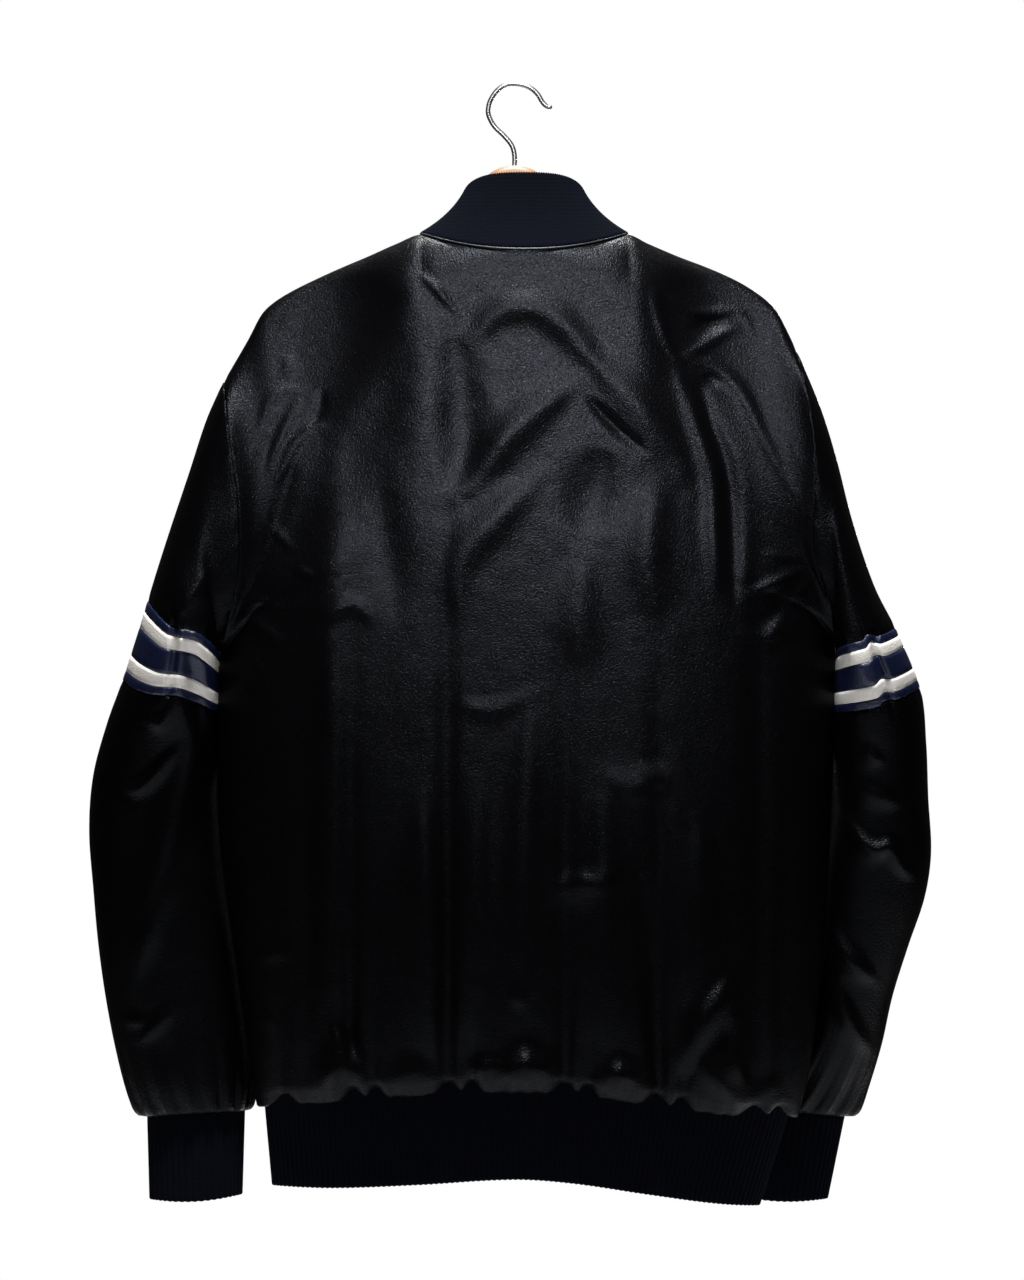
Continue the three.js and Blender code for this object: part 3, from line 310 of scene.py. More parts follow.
# Folds and creases. Each is a soft ridge along the smooth line through its points, or a trough where
# its height is negative. lean makes one flank steeper, as where satin folds over.
Crease = namedtuple("Crease", "side line width height lean")
CREASES = (
    # Across the upper back, drawn from the neck and the hanger's arms.
    Crease(BACK, ((-84, -148), (-104, -205), (-128, -261), (-148, -302)), 20, 4.2, 0.1),
    Crease(BACK, ((-50, -205), (-42, -262), (-40, -340)), 18, -4.5, 0.0),
    Crease(BACK, ((-38, -212), (-14, -188), (10, -181), (38, -194), (72, -236)), 13, 4.0, 0.2),
    Crease(BACK, ((60, -222), (84, -246), (105, -271), (130, -300), (146, -334)), 14, 3.4, 0.1),
    Crease(BACK, ((51, -246), (30, -262), (4, -284), (-24, -316), (-46, -342)), 14, 4.5, 0.2),
    Crease(BACK, ((60, -258), (84, -282), (107, -302)), 5, -3.2, 0.4),
    Crease(BACK, ((74, -300), (66, -330), (56, -372)), 20, -4.0, 0.0),
    Crease(BACK, ((22, -324), (-20, -366), (-44, -396), (-46, -440)), 14, 3.4, 0.2),
    Crease(BACK, ((120, -330), (112, -380), (116, -440)), 16, 4.0, 0.2),
    Crease(BACK, ((60, -392), (52, -430), (56, -480)), 18, 3.2, 0.2),
    Crease(BACK, ((-143, -297), (-151, -424), (-139, -547)), 22, 4.5, 0.0),
    Crease(BACK, ((-108, -330), (-104, -380), (-96, -440)), 16, -3.0, 0.0),
    Crease(BACK, ((-80, -154), (-62, -170), (-46, -190)), 4, 1.4, 0.4),
    Crease(BACK, ((-46, -153), (-10, -155), (27, -154)), 2.2, 0.5, 0.6),
    # Right shoulder and the long ridge down to the armpit.
    Crease(
        BACK,
        ((123, -167), (132, -177), (147, -186), (165, -187), (182, -185), (192, -193), (197, -206)),
        4.6, 2.8, 0.4,
    ),
    Crease(BACK, ((123, -167), (116, -173), (120, -193), (126, -213), (133, -227)), 4.6, 2.6, 0.2),
    Crease(BACK, ((136, -227), (148, -219), (165, -208), (185, -198)), 4.0, 2.6, 0.3),
    Crease(
        BACK,
        ((136, -227), (148, -227), (165, -231), (180, -243), (192, -260), (205, -290), (222, -323),
         (236, -348)),
        6.0, 3.8, 0.4,
    ),
    Crease(
        BACK,
        ((133, -227), (138, -246), (147, -268), (155, -290), (164, -323), (166, -360), (165, -420)),
        9.0, 5.0, 0.2,
    ),
    Crease(BACK, ((150, -238), (160, -280), (172, -313), (177, -350), (180, -430)), 8.0, -5.5, 0.0),
    Crease(BACK, ((140, -204), (158, -199), (176, -192)), 7.0, -3.0, 0.0),
    Crease(BACK, ((152, -241), (170, -247)), 5.0, -3.0, 0.0),
    Crease(BACK, ((227, -296), (237, -315)), 3.2, 1.4, 0.2),
    Crease(BACK, ((186, -421), (210, -410), (240, -396)), 5.0, 3.4, 0.5),
    Crease(BACK, ((204, -384), (222, -388), (242, -388)), 4.0, 2.4, 0.4),
    Crease(BACK, ((196, -446), (218, -432), (246, -419)), 6.0, -2.8, 0.2),
    Crease(BACK, ((180, -452), (206, -452), (240, -438)), 6.0, 2.8, 0.4),
    # Left shoulder and armhole.
    Crease(BACK, ((-171, -181), (-188, -193), (-178, -201)), 5.0, 1.8, 0.3),
    Crease(BACK, ((-186, -222), (-184, -243)), 6.0, 2.0, 0.2),
    Crease(
        BACK,
        ((-172, -252), (-190, -253), (-200, -261), (-206, -276), (-210, -294), (-218, -316)),
        4.6, 3.0, 0.4,
    ),
    Crease(BACK, ((-174, -256), (-181, -271), (-190, -289), (-197, -305), (-203, -330)), 4.6, 2.8, 0.3),
    Crease(
        BACK,
        ((-202, -334), (-191, -318), (-184, -300), (-175, -289), (-162, -281), (-152, -284)),
        4.4, 2.8, 0.4,
    ),
    Crease(BACK, ((-186, -262), (-196, -282), (-204, -312)), 4.5, -2.6, 0.0),
    Crease(BACK, ((-158, -252), (-160, -268), (-168, -284)), 5.0, -2.8, 0.0),
    Crease(BACK, ((-180, -310), (-190, -340), (-204, -380)), 7.0, -4.0, 0.0),
    Crease(BACK, ((-204, -350), (-198, -364), (-180, -382)), 4.6, 2.2, 0.4),
    Crease(BACK, ((-180, -397), (-163, -405)), 4.0, 1.5, 0.4),
    Crease(BACK, ((-164, -439), (-131, -427), (-114, -443)), 6.0, 2.4, 0.4),
    Crease(BACK, ((-232, -420), (-214, -440), (-186, -462)), 6.0, 3.0, 0.4),
    Crease(BACK, ((-234, -444), (-220, -462), (-204, -490)), 5.0, 2.6, 0.4),
    # Down the lower back, between the gathers.
    Crease(BACK, ((-151, -457), (-148, -640), (-149, -793)), 16, 4.5, 0.2),
    Crease(BACK, ((-77, -588), (-74, -690), (-77, -801)), 15, 4.5, -0.2),
    Crease(BACK, ((-28, -572), (-32, -690), (-36, -801)), 12, 3.5, 0.3),
    Crease(BACK, ((13, -506), (8, -660), (5, -801)), 14, 4.5, 0.1),
    Crease(BACK, ((70, -572), (74, -700), (78, -818)), 15, 4.5, -0.1),
    Crease(BACK, ((152, -605), (154, -700), (152, -801)), 14, 5.0, 0.2),
    Crease(BACK, ((103, -629), (110, -730), (115, -822)), 9, -3.0, 0.2),
    Crease(BACK, ((226, -588), (222, -710), (218, -830)), 9, -4.0, 0.3),
    Crease(BACK, ((-166, -588), (-168, -700), (-166, -834)), 8, -3.0, 0.2),
    Crease(BACK, ((-227, -664), (-215, -656), (-202, -651)), 5, 1.8, 0.5),
    Crease(BACK, ((-218, -720), (-200, -713), (-181, -711)), 5, 2.0, 0.5),
    Crease(BACK, ((-210, -763), (-195, -774)), 5, 1.6, 0.4),
    Crease(BACK, ((38, -658), (55, -651), (72, -658)), 7, 2.2, 0.6),
    Crease(BACK, ((0, -741), (9, -756)), 6, 1.8, 0.4),
    Crease(BACK, ((-48, -506), (-20, -512), (12, -500)), 7, 1.6, 0.6),
    Crease(BACK, ((100, -560), (118, -566), (130, -580)), 6, 1.8, 0.5),
    # Where the satin swells above the hem.
    Crease(BACK, ((-160, -822), (-143, -800), (-122, -818)), 12, 5.0, 0.4),
    Crease(BACK, ((-150, -800), (-143, -775)), 9, 3.5, 0.5),
    Crease(BACK, ((-40, -808), (-14, -803)), 8, 3.2, 0.5),
    Crease(BACK, ((-8, -816), (8, -798), (30, -812)), 12, 4.5, 0.3),
    Crease(BACK, ((130, -812), (150, -770), (176, -732)), 12, 5.5, 0.6),
    Crease(BACK, ((180, -740), (184, -780), (186, -812)), 8, 4.0, 0.5),
    Crease(BACK, ((158, -807), (174, -826), (189, -836)), 7, 3.4, 0.5),
    Crease(BACK, ((197, -834), (216, -816)), 7, 3.2, 0.4),
    Crease(BACK, ((60, -822), (88, -812), (104, -824)), 10, 3.2, 0.3),
    Crease(BACK, ((-104, -820), (-84, -808), (-64, -818)), 10, 3.0, 0.3),
    # Left sleeve, as it shows from behind.
    Crease(BACK, ((-254, -516), (-269, -580), (-288, -640), (-313, -694)), 14, 6.0, 0.5),
    Crease(BACK, ((-325, -571), (-311, -578), (-277, -544)), 6, 3.2, 0.6),
    Crease(BACK, ((-304, -514), (-292, -525), (-282, -510)), 5, 2.4, 0.5),
    Crease(BACK, ((-347, -616), (-332, -615)), 5, 1.8, 0.4),
    Crease(BACK, ((-346, -568), (-336, -564)), 5, 1.8, 0.4),
    Crease(BACK, ((-262, -640), (-296, -690), (-312, -740)), 12, 4.0, 0.4),
    Crease(BACK, ((-311, -788), (-298, -775), (-281, -757)), 6, 2.6, 0.5),
    Crease(BACK, ((-327, -767), (-314, -770), (-301, -769)), 5, 2.0, 0.5),
    Crease(BACK, ((-300, -330), (-285, -380), (-268, -430)), 12, 3.0, 0.3),
    Crease(BACK, ((-285, -440), (-268, -420), (-252, -400)), 9, 3.0, 0.5),
    Crease(BACK, ((-268, -452), (-262, -490), (-256, -545)), 9.0, -9.0, 0.0),
    Crease(BACK, ((-281, -424), (-277, -460), (-284, -512)), 3.6, -4.5, 0.4),
    # Beside the armholes, drawn to the armpits.
    Crease(BACK, ((-246, -462), (-228, -484), (-200, -502)), 5.0, 2.4, 0.4),
    Crease(BACK, ((-240, -432), (-216, -424), (-190, -428)), 4.0, 2.2, 0.4),
    Crease(BACK, ((262, -450), (238, -470), (212, -480)), 5.0, 2.6, 0.4),
    Crease(BACK, ((250, -404), (226, -430), (206, -462)), 4.0, 2.2, 0.4),
    # Lobes above the hem, which face up between the gathers.
    Crease(BACK, ((150, -800), (168, -808), (188, -800)), 24, 10.0, 0.0),
    Crease(BACK, ((176, -730), (168, -770), (160, -800)), 10, 5.0, 0.4),
    Crease(BACK, ((-156, -806), (-142, -812), (-124, -804)), 16, 7.0, 0.0),
    Crease(BACK, ((-150, -770), (-138, -790), (-124, -802)), 6, 3.0, 0.4),
    Crease(BACK, ((-14, -806), (6, -812), (28, -804)), 16, 7.0, 0.0),
    Crease(BACK, ((74, -808), (88, -812), (100, -808)), 12, 5.0, 0.0),
    Crease(BACK, ((76, -566), (98, -578), (122, -566)), 13, 3.0, 0.1),
    Crease(BACK, ((30, -648), (52, -661), (82, -646)), 13, 2.6, 0.1),
    # Right sleeve, as it shows from behind.
    Crease(BACK, ((301, -436), (296, -462), (306, -490), (312, -520)), 3.6, -4.5, 0.4),
    Crease(
        BACK,
        ((263, -582), (282, -616), (297, -628), (309, -625), (323, -645), (340, -652)),
        7, 4.2, 0.6,
    ),
    Crease(BACK, ((286, -543), (294, -551), (303, -557)), 6, 2.4, 0.5),
    Crease(BACK, ((257, -680), (269, -709), (285, -726), (300, -738)), 9, 5.0, 0.5),
    Crease(BACK, ((267, -746), (284, -780), (301, -801)), 8, 4.2, 0.5),
    Crease(BACK, ((262, -420), (276, -470), (300, -500)), 9, 2.6, 0.4),
    Crease(BACK, ((251, -507), (258, -515), (264, -522)), 5, 1.6, 0.4),
    Crease(BACK, ((266, -560), (288, -580), (322, -590)), 8, 2.6, 0.4),
    # Front of the body and of the sleeves, hidden from behind and creased alike.
    Crease(FRONT, ((-120, -190), (-140, -260), (-150, -360)), 17, 5.0, 0.3),
    Crease(FRONT, ((-222, -400), (-160, -420), (-110, -450)), 12, 4.5, 0.4),
    Crease(FRONT, ((-214, -420), (-170, -452), (-140, -500)), 8, 3.0, 0.5),
    Crease(FRONT, ((-205, -270), (-214, -320), (-216, -370)), 7, 3.4, 0.5),
    Crease(FRONT, ((-110, -420), (-108, -560), (-112, -740)), 16, 5.0, 0.2),
    Crease(FRONT, ((-190, -560), (-182, -660), (-186, -780)), 14, 4.0, 0.2),
    Crease(FRONT, ((-70, -520), (-66, -640), (-72, -790)), 12, 3.5, -0.2),
    Crease(FRONT, ((130, -190), (146, -280), (156, -380)), 17, 5.0, 0.3),
    Crease(FRONT, ((238, -390), (176, -416), (120, -440)), 12, 4.5, 0.4),
    Crease(FRONT, ((230, -420), (190, -450), (160, -500)), 8, 3.0, 0.5),
    Crease(FRONT, ((214, -260), (224, -320), (228, -370)), 7, 3.4, 0.5),
    Crease(FRONT, ((124, -430), (126, -560), (124, -750)), 16, 5.0, 0.2),
    Crease(FRONT, ((200, -560), (206, -660), (204, -790)), 14, 4.0, 0.2),
    Crease(FRONT, ((80, -540), (82, -660), (78, -790)), 12, 3.5, -0.2),
    Crease(FRONT, ((-262, -560), (-300, -610), (-322, -660)), 13, 5.0, 0.4),
    Crease(FRONT, ((-300, -720), (-280, -745), (-262, -760)), 10, 4.0, 0.4),
    Crease(FRONT, ((-290, -540), (-320, -560), (-340, -600)), 7, 3.0, 0.5),
    Crease(FRONT, ((276, -570), (302, -612), (326, -650)), 13, 5.0, 0.4),
    Crease(FRONT, ((262, -740), (278, -758), (292, -770)), 10, 4.0, 0.4),
    Crease(FRONT, ((300, -540), (326, -560), (338, -600)), 7, 3.0, 0.5),
)

# Flat cut of what shows, in metres: width and length, with the area where it isn't a rectangle.
# A ribbon is as long as the sleeve's girth there. No flat side may be stated below MIN_FLAT_SIDE.
Cut = namedtuple("Cut", "flat area")
SLEEVE_CUTS = {
    "sleeve_upper": Cut((0.46, 0.19), 0.041),
    "sleeve_lower": Cut((0.36, 0.40), 0.115),
}
SLEEVE_GIRTH = 0.34
MIN_FLAT_SIDE = 0.01

# Rows and columns of the finer meshes. A panel's columns crowd from its middle towards the neck
# corner, and beyond it a little towards the outer edge.
PANEL_COLUMNS = 100
NECK_CROWDING = 0.7
EDGE_CROWDING = 0.06
ARMHOLE_ROWS = 116
SIDE_ROWS = 84
ROLL_ROWS = 13
SLEEVE_COLUMNS = 128
SLEEVE_ROW = 3.4
SLEEVE_LINE_PLACES = 400
RIB_COLUMNS = 6
COLLAR_ROWS = 22
HEM_ROWS = 16
CUFF_ROWS = 18


def mix(a, b, w):
    """A value between a and b."""
    return a + (b - a) * w


def ease(v):
    """A smooth step from 0 to 1."""
    v = np.clip(v, 0, 1)
    return v * v * (3 - 2 * v)


def smooth(knots, values, place):
    """The smooth curve that has these values at its knots, read at each place."""
    knots = np.asarray(knots, float)
    values = np.asarray(values, float)
    place = np.asarray(place, float)
    if knots[-1] < knots[0]:
        knots, place = -knots, -place
    i = np.clip(np.searchsorted(knots, place) - 1, 0, len(knots) - 2)
    before = np.maximum(i - 1, 0)
    after = np.minimum(i + 2, len(knots) - 1)
    spread = place.shape + (1,) * (values.ndim - 1)
    span = (knots[i + 1] - knots[i]).reshape(spread)
    w = np.clip((place - knots[i]).reshape(spread) / span, 0, 1)
    slope_a = (values[i + 1] - values[before]) / (knots[i + 1] - knots[before]).reshape(spread) * span
    slope_b = (values[after] - values[i]) / (knots[after] - knots[i]).reshape(spread) * span
    w2, w3 = w * w, w**3
    start = (2 * w3 - 3 * w2 + 1) * values[i] + (w3 - 2 * w2 + w) * slope_a
    return start + (3 * w2 - 2 * w3) * values[i + 1] + (w3 - w2) * slope_b


def read(data, key, column, place):
    """The smooth value of one column of a table, at a place in its key column."""
    return smooth(data[key], data[column], place)


def lengths(points):
    """The distance along a line of points, from its start to each of them."""
    steps = np.linalg.norm(np.diff(np.asarray(points, float), axis=0), axis=-1)
    return np.concatenate([[0], np.cumsum(steps)])


def unit(vectors):
    """The same vectors, one long."""
    return vectors / np.maximum(np.linalg.norm(vectors, axis=-1, keepdims=True), 1e-9)


def rumple(x, z, size, seed):
    """Smooth seeded noise from -1 to 1, with waves of about this size in millimetres."""
    flat = zip(np.ravel(x) / size, np.ravel(z) / size)
    values = [noise.noise(Vector((a, b, seed))) for a, b in flat]
    return np.array(values).reshape(np.shape(x))


def crease_height(side, x, z):
    """Height of the folds and creases at places on the side that faces back or front."""
    strength = bpy.context.scene.jacket_sizes.crease_strength
    height = np.zeros_like(x)
    for crease in CREASES:
        if crease.side != side:
            continue
        knots = lengths(crease.line)
        line = smooth(knots, crease.line, np.linspace(0, knots[-1], 4 * len(knots) + 1))
        reach = 3 * crease.width
        low, high = line.min(axis=0) - reach, line.max(axis=0) + reach
        near = (x > low[0]) & (x < high[0]) & (z > low[1]) & (z < high[1])
        if not near.any():
            continue
        px, pz = x[near], z[near]
        best = np.full(px.shape, np.inf)
        across = np.zeros(px.shape)
        along = np.zeros(px.shape)
        for k in range(len(line) - 1):
            ax, az = line[k]
            dx, dz = line[k + 1] - line[k]
            w = np.clip(((px - ax) * dx + (pz - az) * dz) / (dx * dx + dz * dz), 0, 1)
            rx, rz = px - ax - w * dx, pz - az - w * dz
            distance = np.hypot(rx, rz)
            nearer = distance < best
            best = np.where(nearer, distance, best)
            across = np.where(nearer, np.sign(rx * dz - rz * dx) * distance, across)
            along = np.where(nearer, (k + w) / (len(line) - 1), along)
        taper = np.sin(math.pi * np.clip(along, 0.02, 0.98)) ** 0.7
        q = across / (crease.width * (0.45 + 0.55 * taper))
        shape = np.exp(-q * q) * (1 + 1.5 * crease.lean * q)
        height[near] += strength * crease.height * taper * shape
    return height


def gather_at(side, x, rise):
    """Depth of the gathers at a place, and how far they pinch the roll over the hem."""
    depth = np.zeros(np.broadcast(x, rise).shape)
    pinch = np.zeros_like(depth)
    up = np.maximum(rise, 0)
    for gather in GATHERS:
        if gather.side == side:
            near = np.exp(-(((x - gather.x) / gather.width) ** 2))
            depth += gather.depth * near * np.exp(-((up / gather.reach) ** 1.5))
            pinch = np.maximum(pinch, near)
    (broad, broad_length), (fine, fine_length) = TUCK_WANDER
    wander = broad * np.sin(x / broad_length + side) + fine * np.sin(x / fine_length)
    tuck = (0.5 + 0.5 * np.cos(2 * math.pi * (x + wander) / TUCK_PITCH)) ** 2
    swell = 0.6 + 0.4 * np.sin(x / TUCK_SWELL_LENGTH)
    depth += TUCK_DEPTH * tuck * np.exp(-((up / TUCK_REACH) ** 1.3)) * swell
    pinch = np.maximum(pinch, TUCK_PINCH * tuck)
    return depth, pinch


def edge_x(hand, z):
    """The body's outer edge at a height."""
    return read(EDGE[hand], "z", "x", z)


def hem_section(w):
    """Half widths and depths of the hem at w, from 0 at its seam to 1 at its foot."""
    return {key: mix(HEM_TOP[key], HEM_FOOT[key], w) for key in HEM_TOP}


def square_arc(s):
    """Shape across a section with full corners: 1 in the middle and 0 at the sides."""
    return np.maximum(1 - np.abs(s) ** 3, 0) ** 0.556


def calm_top(side, x):
    """The body's top line with its corners evened out, as the cloth below it hangs."""
    total = 0
    offsets = np.arange(-CALM_REACH, CALM_REACH + 1, CALM_SPACING)
    for offset in offsets:
        at = x + offset
        ridge_z = read(RIDGE, "x", "z", at)
        from_centre = (at - NECK_CENTRE_X) / NECK_HALF_WIDTH
        total = total + ridge_z - NECK_DROP[side] * np.exp(-CALM_DIP_FADE * from_centre**2)
    return total / len(offsets)


def body_grid(side, hand, reach, step):
    """Points of one half of a body panel. reach runs from 0 in the middle to 1 at the edge, and may
    be a little under 0 on an overlap; step runs down from the ridge to the roll over the hem."""
    across = np.asarray(reach, float)[None, :]
    step = np.asarray(step, float)[:, None]
    reach = np.abs(across)
    if (across < 0).any():
        inner = across[0] < 0
        grid = np.empty((len(step), reach.shape[1], 3))
        grid[:, inner] = body_grid(side, -hand, -across[0, inner], step[:, 0])
        grid[:, ~inner] = body_grid(side, hand, across[0, ~inner], step[:, 0])
        return grid

    t = np.interp(step, [0, 1, ARMPIT_STEP, HEM_STEP], [0, RIDGE_T, ARMPIT_T, 1])
    armhole_place = np.clip(step / ARMPIT_STEP, 0, 1)
    roll = np.clip(step - HEM_STEP, 0, ROLL_STEP - HEM_STEP)
    top_edge = edge_x(hand, SHOULDER_Z[hand])
    neck_place = reach / (NECK_HALF_WIDTH / abs(top_edge - NECK_CENTRE_X))
    in_neck = neck_place < 1
    neck_drop = NECK_DROP[side] * (1 - np.minimum(neck_place, 1) ** NECK_ROUNDNESS)
    top_x = mix(NECK_CENTRE_X, top_edge, reach)
    ridge_z = read(RIDGE, "x", "z", top_x)
    top_z = np.where(in_neck, NECK_CORNER_Z - neck_drop, ridge_z)
    calm_top_z = mix(calm_top(side, top_x), top_z, ease((reach - CALM_END) / CALM_END_WIDTH))

    hem = hem_section(HEM_SEAM_PLACE)
    hem_edge = hem[HAND_NAMES[hand]]
    hem_x = mix(HEM_CENTRE_X, hem_edge, reach)
    seam_z = read(HEM_LINE, "x", "seam", hem_x)
    edge_seam_z = read(HEM_LINE, "x", "seam", hem_edge)
    down_armhole = mix(SHOULDER_Z[hand], ARMPIT_Z[hand], (1 - np.cos(math.pi * armhole_place)) / 2)
    down_side = mix(ARMPIT_Z[hand], edge_seam_z, (t - ARMPIT_T) / (1 - ARMPIT_T))
    edge_z = np.where(step <= ARMPIT_STEP, down_armhole, down_side)
    edge_pull = (edge_z - mix(SHOULDER_Z[hand], edge_seam_z, t)) * reach**4
    z = mix(top_z, seam_z, t) + edge_pull
    middle_x = mix(NECK_CENTRE_X, HEM_CENTRE_X, t)
    x = middle_x + (edge_x(hand, edge_z) - middle_x) * reach

    calm_t = np.clip((calm_top_z - z) / (calm_top_z - seam_z), 0, 1)
    depth_t = mix(t, calm_t, ease(t / CALM_T))
    full = read(BODY_DEPTH, "t", "back" if side == BACK else "front", depth_t)
    edge_depth = np.sin(math.pi * armhole_place) * ARMHOLE_DEPTH[side]
    armhole_open = ease((ARMPIT_STEP - step) / 3)
    arc = mix(square_arc(reach), 1 - reach**2.5, armhole_open)
    section_depth = edge_depth + (full - edge_depth) * arc
    fall = top_z - z
    fall = mix(top_z, calm_top_z, ease(fall / NECK_SETTLE)) - z
    spread = 1 - (1 - np.clip(fall / SHOULDER_FALL, 0, 1)) ** 2
    past_neck = np.maximum(neck_place - 1, 0)
    radius = mix(RIDGE_RADIUS, NECK_REACH, np.exp(-((past_neck / NECK_RIDGE_REACH) ** 2)))
    to_crown = np.clip(np.minimum(neck_place, 1) - fall / radius, 0, 1)
    top_y = radius * np.sqrt(1 - to_crown**2) * np.minimum(section_depth / radius, 1)
    edge_fall = np.clip((SHOULDER_Z[hand] - edge_z) / SHOULDER_FALL, 0, 1)
    edge_swell = edge_depth * (1 - edge_fall * (2 - edge_fall)) * reach**10
    depth = top_y + (section_depth - top_y) * spread + edge_swell

    calm = np.ones_like(x)
    if side == FRONT:
        calm = ease((np.abs(x - middle_x) - CLOSURE_HALF_WIDTH) / CLOSURE_FADE)
    fade = arc * ease(fall / CREASE_FADE) * calm
    gather_depth, pinch = gather_at(side, x, z - seam_z)
    broad, broad_size = BROAD_WAVE
    fine, fine_size = FINE_WAVE
    small = broad * rumple(x, z * 0.6, broad_size, side) + fine * rumple(x, z, fine_size, side + 5)
    depth = depth + (crease_height(side, x, z) - gather_depth + small) * fade
    tuck = read(ROLL, "place", "tuck", roll)
    drop = read(ROLL, "place", "drop", roll)
    face = (hem[side] + HEM_CLEARANCE) * square_arc(reach)
    depth = mix(depth, face, tuck)
    x = mix(x, hem_x + hand * HEM_CLEARANCE * 1.5 * reach**6, tuck)
    z = z - BELLY_DROP * drop * (1 - PINCH_LIFT * pinch)
    seam_shift = SEAM_GAP / 2 * np.where(in_neck, ease((top_z - z) / NECK_SETTLE), 1)
    return np.stack([x, side * (depth + seam_shift), z], axis=-1)


def outward(grid, closed):
    """Outward directions of a grid whose rows run down and columns to the right."""
    down = np.gradient(grid, axis=0)
    if closed:
        along = np.roll(grid, -1, axis=1) - np.roll(grid, 1, axis=1)
    else:
        along = np.gradient(grid, axis=1)
    return unit(np.cross(down, along))


def seam_groove(grid, closed, edges, depth, width):
    """Turns the named edges of a panel in towards the seam, as sewing pulls them."""
    normals = outward(grid, closed)
    groove = np.zeros(grid.shape[:2])
    across = np.linalg.norm(np.diff(grid, axis=1), axis=-1)
    downward = np.linalg.norm(np.diff(grid, axis=0), axis=-1)
    for edge in edges:
        if edge in ("left", "right"):
            steps = across if edge == "left" else across[:, ::-1]
            distance = np.concatenate([np.zeros((len(grid), 1)), np.cumsum(steps, axis=1)], axis=1)
            distance = distance if edge == "left" else distance[:, ::-1]
        else:
            steps = downward if edge == "top" else downward[::-1]
            distance = np.concatenate([np.zeros((1, grid.shape[1])), np.cumsum(steps, axis=0)])
            distance = distance if edge == "top" else distance[::-1]
        groove = np.maximum(groove, np.exp(-((distance / width) ** 2)))
    return grid - normals * (depth * groove)[..., None]


def rows_down():
    """Row numbers of a body panel, closer together at the ridge and over the hem."""
    top = np.linspace(0, 1, 9)[:-1]
    armhole = np.linspace(1, ARMPIT_STEP, ARMHOLE_ROWS)[:-1]
    side = np.linspace(ARMPIT_STEP, HEM_STEP, SIDE_ROWS)[:-1]
    roll = np.linspace(HEM_STEP, ROLL_STEP, ROLL_ROWS)
    return np.concatenate([top, armhole, side, roll])


def places_across(hand):
    """Places from the middle of a panel out to its edge, closer together at the neck corner."""
    neck = NECK_HALF_WIDTH / abs(edge_x(hand, SHOULDER_Z[hand]) - NECK_CENTRE_X)
    w = np.linspace(0, 1, round(PANEL_COLUMNS * neck))
    inner = neck * mix(w, np.sin(w * math.pi / 2), NECK_CROWDING)
    w = np.linspace(0, 1, PANEL_COLUMNS - len(inner) + 1)[1:]
    return np.concatenate([inner, mix(neck, 1, w + EDGE_CROWDING * np.sin(math.pi * w))])


def neck_rim(angle):
    """Points of the neckline at angles from the middle of the back."""
    points = np.zeros(angle.shape + (3,))
    for side in (BACK, FRONT):
        for hand in (LEFT, RIGHT):
            hand_here = np.where(angle < 0, LEFT, RIGHT) == hand
            mask = hand_here & (np.where(np.abs(angle) < math.pi / 2, BACK, FRONT) == side)
            if mask.any():
                turn = np.abs(angle[mask])
                turn = turn if side == BACK else math.pi - turn
                neck = NECK_HALF_WIDTH / abs(edge_x(hand, SHOULDER_Z[hand]) - NECK_CENTRE_X)
                points[mask] = body_grid(side, hand, neck * np.sin(turn) * 0.9999, [0])[0]
    return points


def make_mesh(name, points, faces, material, smooth_shading=True):
    """A mesh object from points in millimetres and faces, linked to the scene."""
    mesh = bpy.data.meshes.new(name)
    mesh.from_pydata([tuple(p) for p in np.asarray(points).reshape(-1, 3) * MM], [], faces)
    mesh.validate()
    mesh.update()
    if smooth_shading:
        mesh.shade_smooth()
    mesh.materials.append(material)
    piece = bpy.data.objects.new(name, mesh)
    bpy.context.scene.collection.objects.link(piece)
    return piece


def grid_faces(rows, columns, closed):
    """Faces of a grid, turned outward."""
    across = columns if closed else columns - 1
    i, j = np.meshgrid(np.arange(rows - 1), np.arange(across), indexing="ij")
    after = (j + 1) % columns
    here, below = i * columns, (i + 1) * columns
    return np.stack([here + j, below + j, below + after, here + after], -1).reshape(-1, 4).tolist()


def capped_faces(rows, columns):
    """Faces of a closed solid made of rings, with both ends closed."""
    faces = grid_faces(rows, columns, True)
    faces.append(list(range(columns)))
    faces.append([(rows - 1) * columns + k for k in range(columns)][::-1])
    return [face[::-1] for face in faces]


def make_cloth(name, grid, closed, slot, node):
    """A thin shell of cloth whose outer face is the grid. It stands for its node of the frame."""
    piece = make_mesh(name, grid, grid_faces(*grid.shape[:2], closed), material_for(slot))
    shell = piece.modifiers.new("Cloth thickness", "SOLIDIFY")
    shell.thickness = bpy.context.scene.jacket_sizes.satin_thickness
    shell.offset = -1
    settle(piece, slot, node)


def settle(piece, slot, *nodes):
    """Joins a piece to the body and hides the nodes of the frame that it stands for. Its slot is not used.
    """
    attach(piece, "root")
    if nodes:
        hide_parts(*nodes)


def linear(code):
    """Linear colour, with alpha, of an sRGB hex value."""
    channels = [int(code[k:k + 2], 16) / 255 for k in (1, 3, 5)]
    return tuple(c / 12.92 if c <= 0.04045 else ((c + 0.055) / 1.055) ** 2.4 for c in channels) + (1.0,)


def colour(default, name, description):
    """A colour property with an sRGB hex default."""
    return FloatVectorProperty(
        name=name, description=description, default=linear(default), size=4, min=0, max=1, subtype="COLOR"
    )


def length(default_mm, name, description):
    """A length property with its default in millimetres."""
    return FloatProperty(
        name=name, description=description, default=default_mm * MM, min=0,
        unit="LENGTH", subtype="DISTANCE",
    )


